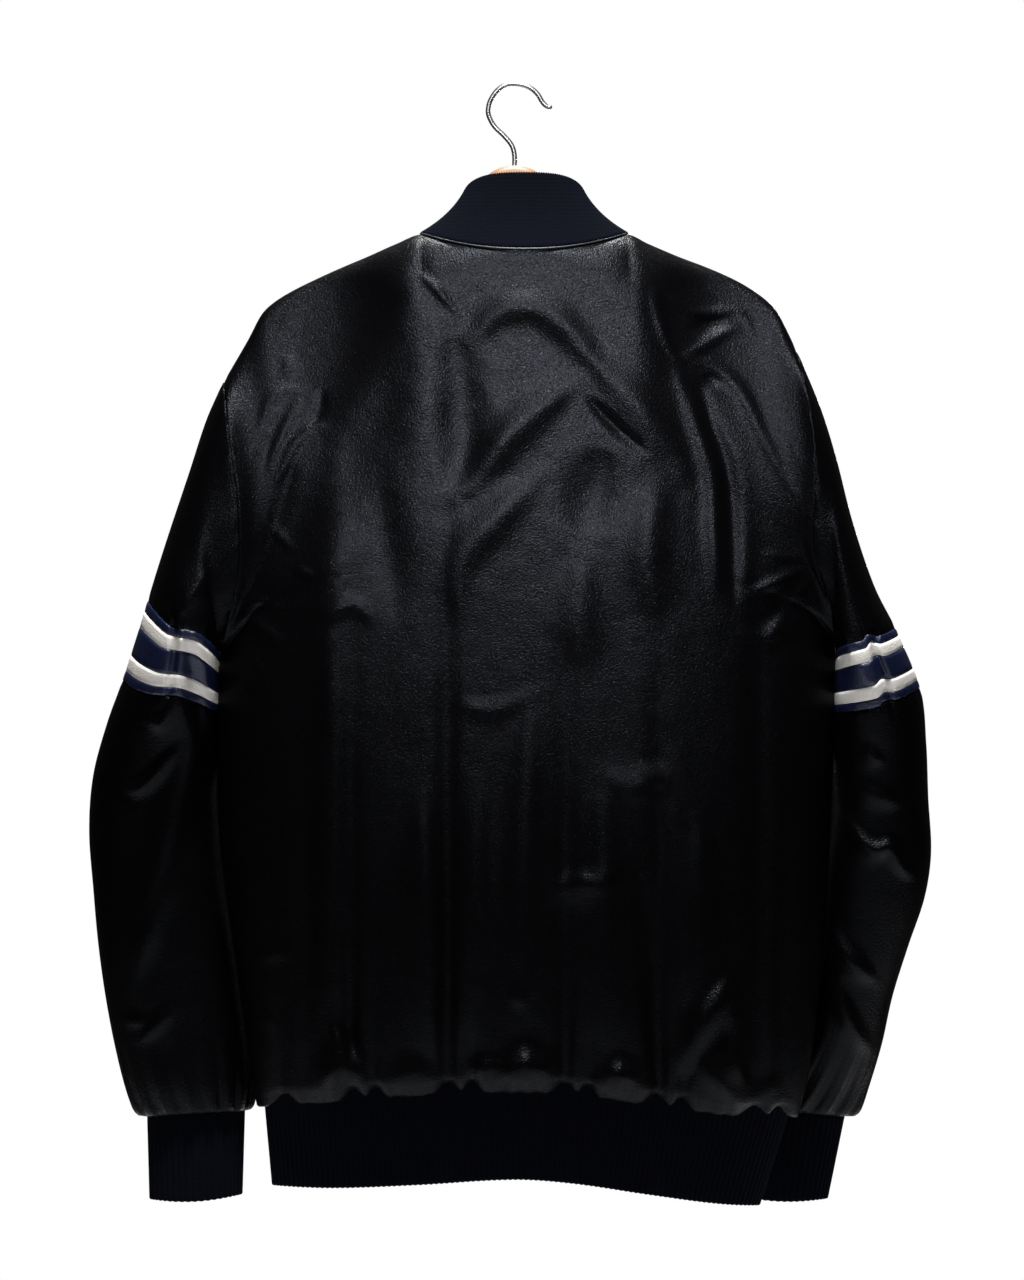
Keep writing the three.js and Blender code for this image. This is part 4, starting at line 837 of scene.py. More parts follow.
class JacketSizes(bpy.types.PropertyGroup):
    """Sizes of the cloth that a user would change."""

    satin_thickness: length(1.2, "Satin thickness", "Thickness of the satin with its backing")
    rib_thickness: length(2.2, "Rib thickness", "Thickness of the doubled rib knit")
    rib_height: length(1.2, "Rib height", "Height of a rib above the channel beside it")
    collar_rib_pitch: length(3.1, "Collar rib pitch", "Distance between the ribs of the collar")
    hem_rib_pitch: length(4.8, "Hem rib pitch", "Distance between the ribs of the hem")
    cuff_rib_pitch: length(4.8, "Cuff rib pitch", "Distance between the ribs of the cuffs")
    crease_strength: FloatProperty(
        name="Crease strength", description="Factor on the creases' height",
        default=1.35, min=0, subtype="FACTOR",
    )
    snap_count: IntProperty(
        name="Snaps", description="Snap fasteners down the front", default=7, min=1, max=7
    )


class JacketColours(bpy.types.PropertyGroup):
    """Colours of the cloth, knit and trim."""

    satin: colour("#040405", "Satin", "Black satin of the body and sleeves")
    navy: colour("#0b1330", "Navy ribbon", "Navy satin ribbon on the sleeves")
    white: colour("#e6e2dc", "White ribbon", "White satin ribbon on the sleeves")
    rib: colour("#050710", "Rib knit", "Rib knit of the collar, hem and cuffs")
    thread: colour("#14151b", "Thread", "Thread of the collar's piping")
    maple: colour("#7c5c3a", "Maple", "Light wood of the hanger")
    maple_dark: colour("#62452a", "Maple grain", "Darker lines of the wood's grain")
    steel: colour("#a4a6a9", "Steel", "Polished wire of the hook")
    snap: colour("#0d0e11", "Snap", "Lacquer of the snap fasteners")


class StageSizes(bpy.types.PropertyGroup):
    """Sizes of the camera's lens and the floor."""

    focal_length: FloatProperty(
        name="Focal length", description="Camera lens, in millimetres", default=250.0, min=1
    )
    floor_drop: length(1250, "Floor drop", "Distance of the floor below the hook")
    floor_radius: length(1100, "Floor radius", "Radius of the round floor")


# Places of the colour sockets on a mix node, where its number and vector sockets have the same names.
COLOUR_A = 6
COLOUR_B = 7
COLOUR_RESULT = 2


def add_node(tree, kind, inputs=(), **settings):
    """Adds a shader node with its settings, and sets or links its inputs."""
    node = tree.nodes.new(kind)
    for name, value in settings.items():
        setattr(node, name, value)
    for name, value in dict(inputs).items():
        if isinstance(value, bpy.types.NodeSocket):
            tree.links.new(value, node.inputs[name])
        else:
            node.inputs[name].default_value = value
    return node


def new_material(name):
    """An empty node material, its tree and the object's own coordinates in metres."""
    material = bpy.data.materials.new(name)
    material.use_nodes = True
    tree = material.node_tree
    tree.nodes.clear()
    coordinates = add_node(tree, "ShaderNodeTexCoord").outputs["Object"]
    return material, tree, coordinates


def finish_material(material, tree, inputs):
    """Ends a material with one principled surface."""
    surface = add_node(tree, "ShaderNodeBsdfPrincipled", inputs)
    add_node(tree, "ShaderNodeOutputMaterial", {"Surface": surface.outputs["BSDF"]})
    return material


# Satin throws back a slightly cool light.
SHEEN_TINT = (0.80, 0.85, 1.0, 1.0)
# A wave texture repeats once in this length of its own scaled coordinates.
WAVE_LENGTH = 6.28


def per_metre(size_mm):
    """Texture scale at which a pattern repeats about every size_mm."""
    return 1000 / size_mm


def darker(base, factor):
    """A colour with its red, green and blue scaled down."""
    return [channel * factor for channel in base[:3]] + [1]


def satin_material(name, base, roughness, grain=1.0, tint=0.5, gloss=0.5):
    """Polyester satin, woven with long floats: a broad soft sheen that breaks up into fine grain.

    The real threads are 0.15 mm apart, too fine to show, so the grain is drawn at 1.4 mm."""
    material, tree, place = new_material(name)
    grain_noise = add_node(
        tree, "ShaderNodeTexNoise",
        {"Vector": place, "Scale": per_metre(1.4), "Detail": 1.0, "Roughness": 0.6},
    ).outputs["Fac"]
    cloud = add_node(
        tree, "ShaderNodeTexNoise",
        {"Vector": place, "Scale": per_metre(60), "Detail": 4.0, "Roughness": 0.6},
    ).outputs["Fac"]
    shade = add_node(
        tree, "ShaderNodeMix", {0: cloud, COLOUR_A: darker(base, tint), COLOUR_B: base},
        data_type="RGBA",
    )
    spread = 0.08
    rough = add_node(tree, "ShaderNodeMapRange", {
        "Value": grain_noise, "From Min": 0.3, "From Max": 0.7,
        "To Min": roughness - spread, "To Max": roughness + spread,
    }).outputs["Result"]
    crinkle = add_node(
        tree, "ShaderNodeTexNoise",
        {"Vector": place, "Scale": per_metre(9), "Detail": 3.0, "Roughness": 0.55},
    ).outputs["Fac"]
    soft_bump = add_node(
        tree, "ShaderNodeBump", {"Height": crinkle, "Strength": 0.12, "Distance": 0.0009}
    ).outputs["Normal"]
    bump = add_node(
        tree, "ShaderNodeBump",
        {"Height": grain_noise, "Strength": grain, "Distance": 0.00052, "Normal": soft_bump},
    ).outputs["Normal"]
    return finish_material(material, tree, {
        "Base Color": shade.outputs[COLOUR_RESULT],
        "Roughness": rough,
        "Specular IOR Level": gloss,
        "Specular Tint": SHEEN_TINT,
        "Normal": bump,
    })


def rib_material(base):
    """Acrylic rib knit: matt loops of yarn that catch a little light on their fuzz.

    The loops are 1.6 mm tall, as knitted, and the ribs are in the mesh."""
    material, tree, place = new_material("Acrylic rib knit")
    loops = add_node(
        tree, "ShaderNodeTexWave",
        {"Vector": place, "Scale": per_metre(1.6) / WAVE_LENGTH, "Distortion": 2.0, "Detail": 2.0},
        bands_direction="Z",
    ).outputs["Fac"]
    fuzz = add_node(
        tree, "ShaderNodeTexNoise", {"Vector": place, "Scale": per_metre(0.9), "Detail": 3.0}
    ).outputs["Fac"]
    shade = add_node(
        tree, "ShaderNodeMix", {0: fuzz, COLOUR_A: darker(base, 0.5), COLOUR_B: base},
        data_type="RGBA",
    )
    height = add_node(tree, "ShaderNodeMath", {0: loops, 1: fuzz}, operation="ADD").outputs[0]
    bump = add_node(
        tree, "ShaderNodeBump", {"Height": height, "Strength": 0.3, "Distance": 0.0003}
    ).outputs["Normal"]
    return finish_material(material, tree, {
        "Base Color": shade.outputs[COLOUR_RESULT],
        "Roughness": 0.9,
        "Specular IOR Level": 0.05,
        "Normal": bump,
    })


def maple_material(pale, dark):
    """Lacquered maple, planed and sanded: pale even wood with fine long grain under a clear coat."""
    material, tree, place = new_material("Lacquered maple")
    along_grain = (0.06, 1.0, 1.0)
    stretched = add_node(
        tree, "ShaderNodeMapping", {"Vector": place, "Scale": along_grain}
    ).outputs["Vector"]
    fine = add_node(
        tree, "ShaderNodeTexNoise",
        {"Vector": stretched, "Scale": per_metre(1.2), "Detail": 5.0, "Roughness": 0.6},
    ).outputs["Fac"]
    rings = add_node(
        tree, "ShaderNodeTexWave",
        {"Vector": stretched, "Scale": per_metre(5) / WAVE_LENGTH, "Distortion": 3.0, "Detail": 3.0},
        bands_direction="Z",
    ).outputs["Fac"]
    both = add_node(tree, "ShaderNodeMath", {0: fine, 1: rings}, operation="MULTIPLY").outputs[0]
    shade = add_node(
        tree, "ShaderNodeMix", {0: both, COLOUR_A: pale, COLOUR_B: dark}, data_type="RGBA"
    )
    bump = add_node(
        tree, "ShaderNodeBump", {"Height": fine, "Strength": 0.15, "Distance": 0.0002}
    ).outputs["Normal"]
    return finish_material(material, tree, {
        "Base Color": shade.outputs[COLOUR_RESULT],
        "Roughness": 0.42,
        "Coat Weight": 0.15,
        "Coat Roughness": 0.25,
        "Normal": bump,
    })


def steel_material(base):
    """Steel wire, drawn and nickel plated: a clean mirror with faint lines from the die."""
    material, tree, place = new_material("Nickel-plated steel wire")
    lines = add_node(
        tree, "ShaderNodeTexNoise", {"Vector": place, "Scale": per_metre(0.8), "Detail": 2.0}
    ).outputs["Fac"]
    rough = add_node(
        tree, "ShaderNodeMapRange", {"Value": lines, "To Min": 0.3, "To Max": 0.42}
    ).outputs["Result"]
    return finish_material(material, tree, {"Base Color": base, "Metallic": 1.0, "Roughness": rough})


def snap_material(base):
    """Brass snap cap, stamped and lacquered black: a smooth coat with light wear."""
    material, tree, place = new_material("Black lacquered brass")
    wear = add_node(
        tree, "ShaderNodeTexNoise", {"Vector": place, "Scale": per_metre(2.5), "Detail": 4.0}
    ).outputs["Fac"]
    rough = add_node(
        tree, "ShaderNodeMapRange", {"Value": wear, "To Min": 0.22, "To Max": 0.42}
    ).outputs["Result"]
    return finish_material(material, tree, {
        "Base Color": base, "Roughness": rough, "Coat Weight": 0.5, "Coat Roughness": 0.15,
    })


def thread_material(base):
    """Spun polyester thread, twisted and waxed: small bright points along its turns."""
    material, tree, place = new_material("Polyester thread")
    twist = add_node(
        tree, "ShaderNodeTexNoise", {"Vector": place, "Scale": per_metre(0.5), "Detail": 2.0}
    ).outputs["Fac"]
    bump = add_node(
        tree, "ShaderNodeBump", {"Height": twist, "Strength": 0.4, "Distance": 0.0002}
    ).outputs["Normal"]
    return finish_material(material, tree, {"Base Color": base, "Roughness": 0.4, "Normal": bump})


made_materials = {}


def material_for(finish):
    """The material of a finish, made once."""
    colours = bpy.context.scene.jacket_colours
    black, navy, white = tuple(colours.satin), tuple(colours.navy), tuple(colours.white)
    makers = {
        "satin": lambda: satin_material("Black polyester satin", black, 0.33, gloss=0.08),
        "navy_satin": lambda: satin_material("Navy satin ribbon", navy, 0.40, tint=0.7),
        "white_satin": lambda: satin_material("White satin ribbon", white, 0.42, tint=0.9),
        "rib_knit": lambda: rib_material(tuple(colours.rib)),
        "maple": lambda: maple_material(tuple(colours.maple), tuple(colours.maple_dark)),
        "steel": lambda: steel_material(tuple(colours.steel)),
        "snap": lambda: snap_material(tuple(colours.snap)),
        "thread": lambda: thread_material(tuple(colours.thread)),
    }
    if finish not in made_materials:
        made_materials[finish] = makers[finish]()
    return made_materials[finish]


def front_grid(hand):
    """The grid of one front. The wearer's left one laps over the right, a little further out."""
    overlap = FRONT_OVERLAP / abs(edge_x(-hand, SHOULDER_Z[-hand]) - NECK_CENTRE_X)
    lap = -overlap * np.linspace(1, 0, 7)[:-1]
    places = np.concatenate([lap, places_across(hand)])
    grid = body_grid(FRONT, hand, places, rows_down())
    if hand == LEFT:
        lift = LAP_RISE * ease((grid[..., 0] - NECK_CENTRE_X + 4 * FRONT_OVERLAP) / (2 * FRONT_OVERLAP))
        return grid + outward(grid, False) * lift[..., None]
    return grid[:, ::-1]


class JACKET_OT_body(bpy.types.Operator):
    """Make the back and the two fronts"""

    bl_idname = "jacket.body"
    bl_label = "Body panels"

    def execute(self, context):
        rows = rows_down()
        left = body_grid(BACK, LEFT, places_across(LEFT)[:0:-1], rows)
        right = body_grid(BACK, RIGHT, places_across(RIGHT), rows)
        back = np.concatenate([left, right], axis=1)
        back = seam_groove(back, False, ("left", "right", "top"), *BODY_GROOVE)
        make_cloth("satin_back", back, False, "satin", "back")
        for hand in (LEFT, RIGHT):
            side_edge = "right" if hand == LEFT else "left"
            grid = seam_groove(front_grid(hand), False, (side_edge, "top"), *BODY_GROOVE)
            name = HAND_NAMES[hand]
            make_cloth(f"satin_front_{name}", grid, False, "satin", f"front_{name}")
        return {"FINISHED"}


def armhole_ring(hand, angles):
    """The armhole seam, taken from the edges of the body panels."""
    first, second = (BACK, FRONT) if hand == LEFT else (FRONT, BACK)
    turn = np.where(angles <= math.pi, angles, 2 * math.pi - angles) / math.pi
    rings = {
        side: np.array([body_grid(side, hand, [1.0], [ARMPIT_STEP * w])[0, 0] for w in turn])
        for side in (BACK, FRONT)
    }
    ring = np.where((angles <= math.pi)[:, None], rings[first], rings[second])
    ring[(turn < 1e-9) | (turn > 1 - 1e-9), 1] = 0
    return ring


def sleeve_rings(hand, angles):
    """Rings of the sleeve: the armhole seam and one for each row of its table."""
    data = SLEEVE[hand]
    along = (1 - np.cos(angles)) / 2
    facing = np.sign(np.sin(angles) * hand) * np.abs(np.sin(angles)) ** 0.9
    rings = []
    for k in range(len(data["y"])):
        x = mix(data["out_x"][k], data["in_x"][k], along)
        z = mix(data["out_z"][k], data["in_z"][k], along)
        rings.append(np.stack([x, data["y"][k] + facing * data["half"][k], z], axis=-1))
    start = armhole_ring(hand, angles)
    start = start + unit(rings[0] - start) * 2 * SEAM_GAP
    rings = np.array([start, *rings])
    steps = np.linalg.norm(np.diff(rings, axis=0), axis=-1).mean(axis=1)
    return rings, np.concatenate([[0], np.cumsum(steps)])


def sleeve_lines(rings, knots):
    """For each line down the sleeve, places along it and the distances to them."""
    places = np.linspace(0, knots[-1], SLEEVE_LINE_PLACES)
    steps = np.linalg.norm(np.diff(smooth(knots, rings, places), axis=0), axis=-1)
    return places, np.concatenate([np.zeros((1, rings.shape[1])), np.cumsum(steps, axis=0)])


def sleeve_cloth(hand, rings, knots, lines, runs, angles, seams):
    """The sleeve's outer face at distances down its lines, with its creases and puckers."""
    places, distances = lines
    columns = range(len(angles))
    grid = np.stack([
        smooth(knots, rings[:, c], np.interp(runs[:, c], distances[:, c], places)) for c in columns
    ], axis=1)
    side = np.sign(np.sin(angles) * hand)
    wave, wave_size = SLEEVE_WAVE
    for facing in (BACK, FRONT):
        lift = crease_height(facing, grid[..., 0], grid[..., 2])
        lift += wave * rumple(grid[..., 0] + 400 * facing, grid[..., 2], wave_size, hand + 11)
        grid[..., 1] += np.where(side == facing, facing * lift * np.sin(angles) ** 2, 0)
    to_cuff = np.maximum(distances[-1] - runs, 0)
    pleats = np.cos(CUFF_PLEATS * angles + 1.3 * np.sin(3 * angles)) + 0.4 * np.cos(FINE_PLEATS * angles)
    fade = np.exp(-((to_cuff / PLEAT_REACH) ** 1.2)) * ease(to_cuff / PLEAT_START)
    swell = PLEAT_HEIGHT * pleats * fade
    for seam, height in seams:
        near = np.exp(-np.abs(runs - seam) / PUCKER_REACH)
        swell = swell + height * near * np.cos(PUCKERS * angles + 2 * np.sin(5 * angles))
    return grid + outward(grid, True) * swell[..., None]


def sleeve_stretches(hand, knots, lines, angles):
    """The stretches of a sleeve, each with its node's part name, slot, cut, and the distances down
    the lines at which it starts and ends. Also the seams along which the satin puckers."""
    along = (1 - np.cos(angles)) / 2
    edge = {}
    for end, row in (("top", BAND_TOP_ROW), ("foot", BAND_FOOT_ROW)):
        at = np.array([np.interp(knots[row + 1], lines[0], line) for line in lines[1].T])
        edge[end] = at - read(BAND_RISE[hand], "along", end, along)
    half_gap = SEAM_GAP / 2
    upper_cut, lower_cut = SLEEVE_CUTS["sleeve_upper"], SLEEVE_CUTS["sleeve_lower"]
    stretches = [("sleeve_upper", "satin", upper_cut, 0 * along, edge["top"] - half_gap)]
    total = sum(band.width for band in BANDS)
    run = 0
    for band in BANDS:
        start = mix(edge["top"], edge["foot"], run / total) + half_gap
        run += band.width
        end = mix(edge["top"], edge["foot"], run / total) - half_gap
        width = band.width * MM
        cut = Cut((SLEEVE_GIRTH, max(width, MIN_FLAT_SIDE)), SLEEVE_GIRTH * width)
        stretches.append((f"sleeve_band_{band.name}", band.slot, cut, start, end))
    stretches.append(("sleeve_lower", "satin", lower_cut, edge["foot"] + half_gap, lines[1][-1]))
    seams = ((0, ARMHOLE_PUCKER), (edge["top"], BAND_PUCKER), (edge["foot"], BAND_PUCKER))
    return stretches, seams


class JACKET_OT_sleeves(bpy.types.Operator):
    """Make both sleeves, each an upper and a lower stretch with five ribbon bands between them"""

    bl_idname = "jacket.sleeves"
    bl_label = "Sleeves"

    def execute(self, context):
        angles = np.linspace(0, 2 * math.pi, SLEEVE_COLUMNS, endpoint=False)
        for hand in (LEFT, RIGHT):
            name = HAND_NAMES[hand]
            rings, knots = sleeve_rings(hand, angles)
            lines = sleeve_lines(rings, knots)
            stretches, seams = sleeve_stretches(hand, knots, lines, angles)
            for part, slot, cut, start, end in stretches:
                count = max(math.ceil((end - start).max() / SLEEVE_ROW), 5)
                runs = mix(start, end, np.linspace(0, 1, count)[:, None])
                grid = sleeve_cloth(hand, rings, knots, lines, runs, angles, seams)
                depth, width = RIBBON_GROOVE if "band" in part else SATIN_GROOVE
                grid = seam_groove(grid, True, ("top", "bottom"), depth, width)
                node = f"{part}_{name}"
                make_cloth(f"{slot}_{node}", grid, True, slot, node)
        return {"FINISHED"}


def rib_band(name, base, ribs, fold, closed, node):
    """A band of rib knit. base is its outer face between the ribs, with rows down from its upper
    edge. fold says which edge is the folded one: top or foot."""
    sizes = bpy.context.scene.jacket_sizes
    thickness, height = sizes.rib_thickness / MM, sizes.rib_height / MM
    columns = base.shape[1]
    u = np.arange(columns) / (columns if closed else columns - 1)
    wave = 0.5 - 0.5 * np.cos(2 * math.pi * ribs * u)
    rib = height * wave**0.6
    normals = outward(base, closed)
    outer = base + normals * rib[None, :, None]
    inner = base - normals * thickness
    edge, towards = (0, 1) if fold == "top" else (-1, -2)
    beyond = unit(base[edge] - base[towards])
    centre = (outer[edge] + inner[edge]) / 2
    radius = (rib + thickness)[:, None] / 2
    turns = np.linspace(0, math.pi, 8)[1:-1]
    arc = np.array([
        centre + radius * (math.cos(a) * normals[edge] + math.sin(a) * beyond) for a in turns
    ])
    if fold == "top":
        loop = np.concatenate([inner[::-1], arc[::-1], outer])
    else:
        loop = np.concatenate([outer, arc, inner[::-1]])
    count = len(loop)
    points = loop.reshape(-1, 3)
    faces = grid_faces(count, columns, closed)
    across = columns if closed else columns - 1
    for j in range(across):
        after = (j + 1) % columns
        faces.append([(count - 1) * columns + j, j, after, (count - 1) * columns + after])
    if not closed:
        faces.append([i * columns for i in range(count)][::-1])
        faces.append([i * columns + columns - 1 for i in range(count)])
    piece = make_mesh(name, points, faces, material_for("rib_knit"))
    settle(piece, "rib_knit", node)


def collar_base():
    """The collar's outer face, from its top edge down to the neckline, and its number of ribs."""
    pitch = bpy.context.scene.jacket_sizes.collar_rib_pitch / MM
    foot_length = 2 * math.pi * math.hypot(NECK_HALF_WIDTH, NECK_REACH * 1.2) / math.sqrt(2)
    ribs = round(foot_length / pitch)
    u = np.linspace(0, 1, ribs * RIB_COLUMNS + 1)
    v = np.linspace(0, 1, COLLAR_ROWS)[:, None, None]
    angle = math.pi * (2 * u - 1) * COLLAR_REACH
    sin, cos = np.sin(angle), np.cos(angle)
    forward = ((1 - cos) / 2) ** 1.5
    foot = neck_rim(angle)
    foot[:, 2] += SEAM_GAP + 0.15
    top = np.stack([
        NECK_CENTRE_X + COLLAR_TOP_HALF_WIDTH * sin,
        mix(COLLAR_TOP[FRONT], -COLLAR_TOP[BACK], (1 + cos) / 2),
        mix(COLLAR_TOP_Z[BACK], COLLAR_TOP_Z[FRONT], forward),
    ], axis=-1)
    base = mix(top, foot, v)
    drawn = COLLAR_WAIST * 4 * v[..., 0] * (1 - v[..., 0])
    base[..., 0] -= drawn * sin
    base[..., 1] += drawn * 0.6 * cos
    return base, ribs


def tube(points, radius, aside, sides=10):
    """Points and faces of a closed tube along a line. aside points to one side of it."""
    along = unit(np.gradient(points, axis=0))
    second = unit(np.cross(along, aside))
    first = np.cross(second, along)
    turn = np.linspace(0, 2 * math.pi, sides, endpoint=False)[:, None, None]
    radius = np.broadcast_to(radius, len(points))[:, None]
    rings = points + radius * (np.cos(turn) * first + np.sin(turn) * second)
    return rings.transpose(1, 0, 2).reshape(-1, 3), capped_faces(len(points), sides)


class JACKET_OT_collar(bpy.types.Operator):
    """Make the ribbed collar and the piping along its seam"""

    bl_idname = "jacket.collar"
    bl_label = "Collar"

    def execute(self, context):
        base, ribs = collar_base()
        rib_band("rib_collar", base, ribs, "top", False, "collar")
        line = base[-1, ::4]
        normals = outward(base, False)[-1, ::4]
        seat = line + normals * PIPING_OUT + np.array([0, 0, -PIPING_DROP])
        points, faces = tube(seat, PIPING_RADIUS, normals, 8)
        piping = make_mesh("collar_piping", points, faces, material_for("thread"))
        # The frame has no slot for thread, so the piping takes the satin's.
        settle(piping, "satin")
        return {"FINISHED"}


class JACKET_OT_hem(bpy.types.Operator):
    """Make the ribbed hem"""

    bl_idname = "jacket.hem"
    bl_label = "Hem"

    def execute(self, context):
        pitch = context.scene.jacket_sizes.hem_rib_pitch / MM
        around = 2 * (HEM_TOP["right"] - HEM_TOP["left"]) + HEM_TOP[BACK] + HEM_TOP[FRONT]
        ribs = round(around / pitch)
        u = np.linspace(0, 1, ribs * RIB_COLUMNS + 1)
        v = np.linspace(0, 1, HEM_ROWS)[:, None]
        angle = math.pi * (2 * u - 1) * HEM_REACH
        sin, cos = np.sin(angle), np.cos(angle)
        section = hem_section(v)
        s = np.sign(sin) * np.abs(sin) ** 0.92
        x = mix(HEM_CENTRE_X, np.where(s < 0, section["left"], section["right"]), np.abs(s))
        depth = np.where(cos > 0, section[BACK], section[FRONT]) * square_arc(s)
        z = mix(read(HEM_LINE, "x", "seam", x), read(HEM_LINE, "x", "foot", x), v)
        base = np.stack([x, np.where(cos > 0, -depth, depth), z], axis=-1)
        knots = lengths(base[len(v) // 2])
        even = np.linspace(0, knots[-1], len(u))
        base = np.array([smooth(knots, row, even) for row in base])
        rib_band("rib_hem", base, ribs, "foot", False, "hem_rib")
        return {"FINISHED"}


class JACKET_OT_cuffs(bpy.types.Operator):
    """Make both ribbed cuffs"""

    bl_idname = "jacket.cuffs"
    bl_label = "Cuffs"

    def execute(self, context):
        pitch = context.scene.jacket_sizes.cuff_rib_pitch / MM
        for hand in (LEFT, RIGHT):
            data = CUFF[hand]
            half_width = abs(data["out_x"][0] - data["in_x"][0]) / 2
            girth = 2 * math.pi * math.hypot(half_width, CUFF_HALF_DEPTH) / math.sqrt(2)
            ribs = round(girth / pitch)
            angle = 2 * math.pi * np.arange(ribs * RIB_COLUMNS) / (ribs * RIB_COLUMNS)
            v = np.linspace(0, 1, CUFF_ROWS)[:, None]
            along = (1 - np.cos(angle)) / 2
            end = {key: mix(data[key][0], data[key][1], v) for key in data}
            x = mix(end["out_x"], end["in_x"], along)
            z = mix(end["out_z"], end["in_z"], along) - CUFF_SAG * v * np.sin(math.pi * along)
            y = end["y"] + hand * CUFF_HALF_DEPTH * np.sin(angle) + 0 * v
            base = np.stack([x, y, z], axis=-1)
            name = HAND_NAMES[hand]
            rib_band(f"rib_cuff_{name}", base, ribs, "foot", True, f"cuff_{name}")
        return {"FINISHED"}


class JACKET_OT_snaps(bpy.types.Operator):
    """Make the snap fasteners down the front"""

    bl_idname = "jacket.snaps"
    bl_label = "Snaps"

    def execute(self, context):
        turns = np.linspace(0, 2 * math.pi, SNAP_SIDES, endpoint=False)
        rings = list(zip(SNAP_CAP["radius"], SNAP_CAP["height"]))
        aside = np.array([1.0, 0.0, 0.0])
        rows = body_grid(FRONT, LEFT, [0.0], rows_down())[:, 0]
        slope = np.gradient(rows[:, 1]) / np.minimum(np.gradient(rows[:, 2]), -1e-6)
        for k in range(context.scene.jacket_sizes.snap_count):
            node = f"snap_{k + 1}"
            low, high = (np.array(corner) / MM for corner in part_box(node))
            tilt = np.interp(-(low[2] + high[2]) / 2, -rows[:, 2], slope)
            normal = unit(np.array([0.0, 1.0, -tilt]))
            upward = unit(np.cross(aside, normal))
            seat = (low + high) / 2 - SNAP_HALF_HEIGHT * normal
            points = [
                seat + radius * (math.cos(a) * aside + math.sin(a) * upward) + height * normal
                for radius, height in rings for a in turns
            ]
            faces = capped_faces(len(rings), len(turns))
            snap = make_mesh(f"snap_cap_{k + 1}", points, faces, material_for("snap"))
            settle(snap, "snap", node)
        return {"FINISHED"}


def hanger_top(x):
    """Upper edge of the hanger at a place along it."""
    reach = abs(x)
    def cloth(at):
        return float(read(RIDGE, "x", "z", at)) - HANGER_CLEARANCE
    if reach <= HANGER_HUMP["x"][-1]:
        return float(read(HANGER_HUMP, "x", "z", reach))
    if reach >= HANGER_ARM_START:
        return cloth(x)
    start = cloth(math.copysign(HANGER_ARM_START, x))
    hump_x, hump_z = HANGER_HUMP["x"][-1], HANGER_HUMP["z"][-1]
    return mix(hump_z, start, (reach - hump_x) / (HANGER_ARM_START - hump_x))


class JACKET_OT_hanger(bpy.types.Operator):
    """Make the wooden hanger and its wire hook"""

    bl_idname = "jacket.hanger"
    bl_label = "Hanger"

    def execute(self, context):
        stations = HANGER_REACH * np.sin(np.linspace(-math.pi / 2, math.pi / 2, 161))
        sides = 40
        turn = 2 * math.pi * np.arange(sides) / sides
        sin, cos = np.sin(turn), np.cos(turn)
        half = HANGER_THICKNESS / 2
        rings = []
        for x in stations:
            top = hanger_top(x)
            reach = abs(x) / HANGER_REACH
            tip_length = HANGER_REACH + 1 - HANGER_TIP_START
            past = np.clip((abs(x) - HANGER_TIP_START) / tip_length, 0, 1)
            tip = math.sqrt(max(1 - past**2, 0.08))
            foot = min(HANGER_FOOT_Z - HANGER_FOOT_FALL * reach**1.3, top - HANGER_ARM_HEIGHT)
            y = half * tip * np.sign(sin) * np.abs(sin) ** 0.8
            z = (top + foot) / 2 + (top - foot) / 2 * np.sign(cos) * np.abs(cos) ** 0.7 * tip
            rings.append(np.stack([np.full(sides, x), y, z], axis=-1))
        wood = make_mesh("maple_hanger", rings, capped_faces(len(rings), sides), material_for("maple"))
        settle(wood, "maple", "hanger_wood")

        line = np.stack([HOOK["x"], 0 * HOOK["x"], HOOK["z"]], axis=-1)
        knots = lengths(line)
        straight = np.linspace(0, knots[-1] - HOOK_WIRE, 180)
        rounded = knots[-1] - HOOK_WIRE * np.cos(np.linspace(0.1, math.pi / 2, 8))
        places = np.concatenate([straight, rounded])
        points = smooth(knots, line, places)
        from_end = np.clip((knots[-1] - places) / (HOOK_WIRE / 2), 0, 1)
        radius = HOOK_WIRE / 2 * np.sqrt(np.maximum(1 - (1 - from_end) ** 2, 0.01))
        wire, faces = tube(points, radius, np.array([0.0, 1.0, 0.0]), 20)
        hook = make_mesh("steel_hook", wire, faces, material_for("steel"))
        settle(hook, "steel", "hanger_hook")
        return {"FINISHED"}


# What the stage is made from, in metres.
CAMERA_HEIGHT = -0.457
CAMERA_X = -0.002
FRAME_HALF_HEIGHT = 0.5248
SHARP_PLANE_Y = -0.045
SENSOR = 36.0
FLOOR_SIDES = 96
# Brightness of the surroundings as light on the jacket, and where the camera looks past it.
SKY_LIGHT = 0.02
SKY_SEEN = 1.0

# The key and the front light hang overhead. The front sheen stands below the shoulders' ridge, so
# that it lights the front and puts no bright rim on the ridge. The back sheen is a narrow soft cone
# on the upper back.
Light = namedtuple("Light", "name kind place target watts settings")
SOFTBOX = {"size": 0.5}
CONE = {"spot_size": math.radians(14.5), "spot_blend": 1.0, "shadow_soft_size": 0.15}
LIGHTS = (
    Light("key_light", "AREA", (0.0, -0.8, 2.1), (0, 0, -0.4), 165, SOFTBOX),
    Light("front_light", "AREA", (0.0, 1.3, 2.0), (0, 0, -0.4), 110, SOFTBOX),
    Light("front_sheen", "AREA", (0.2, 2.4, -0.16), (0, 0, -0.42), 75, SOFTBOX),
    Light("back_sheen", "SPOT", (0.0, -2.6, 0.82), (0.02, -0.06, -0.25), 520, CONE),
)


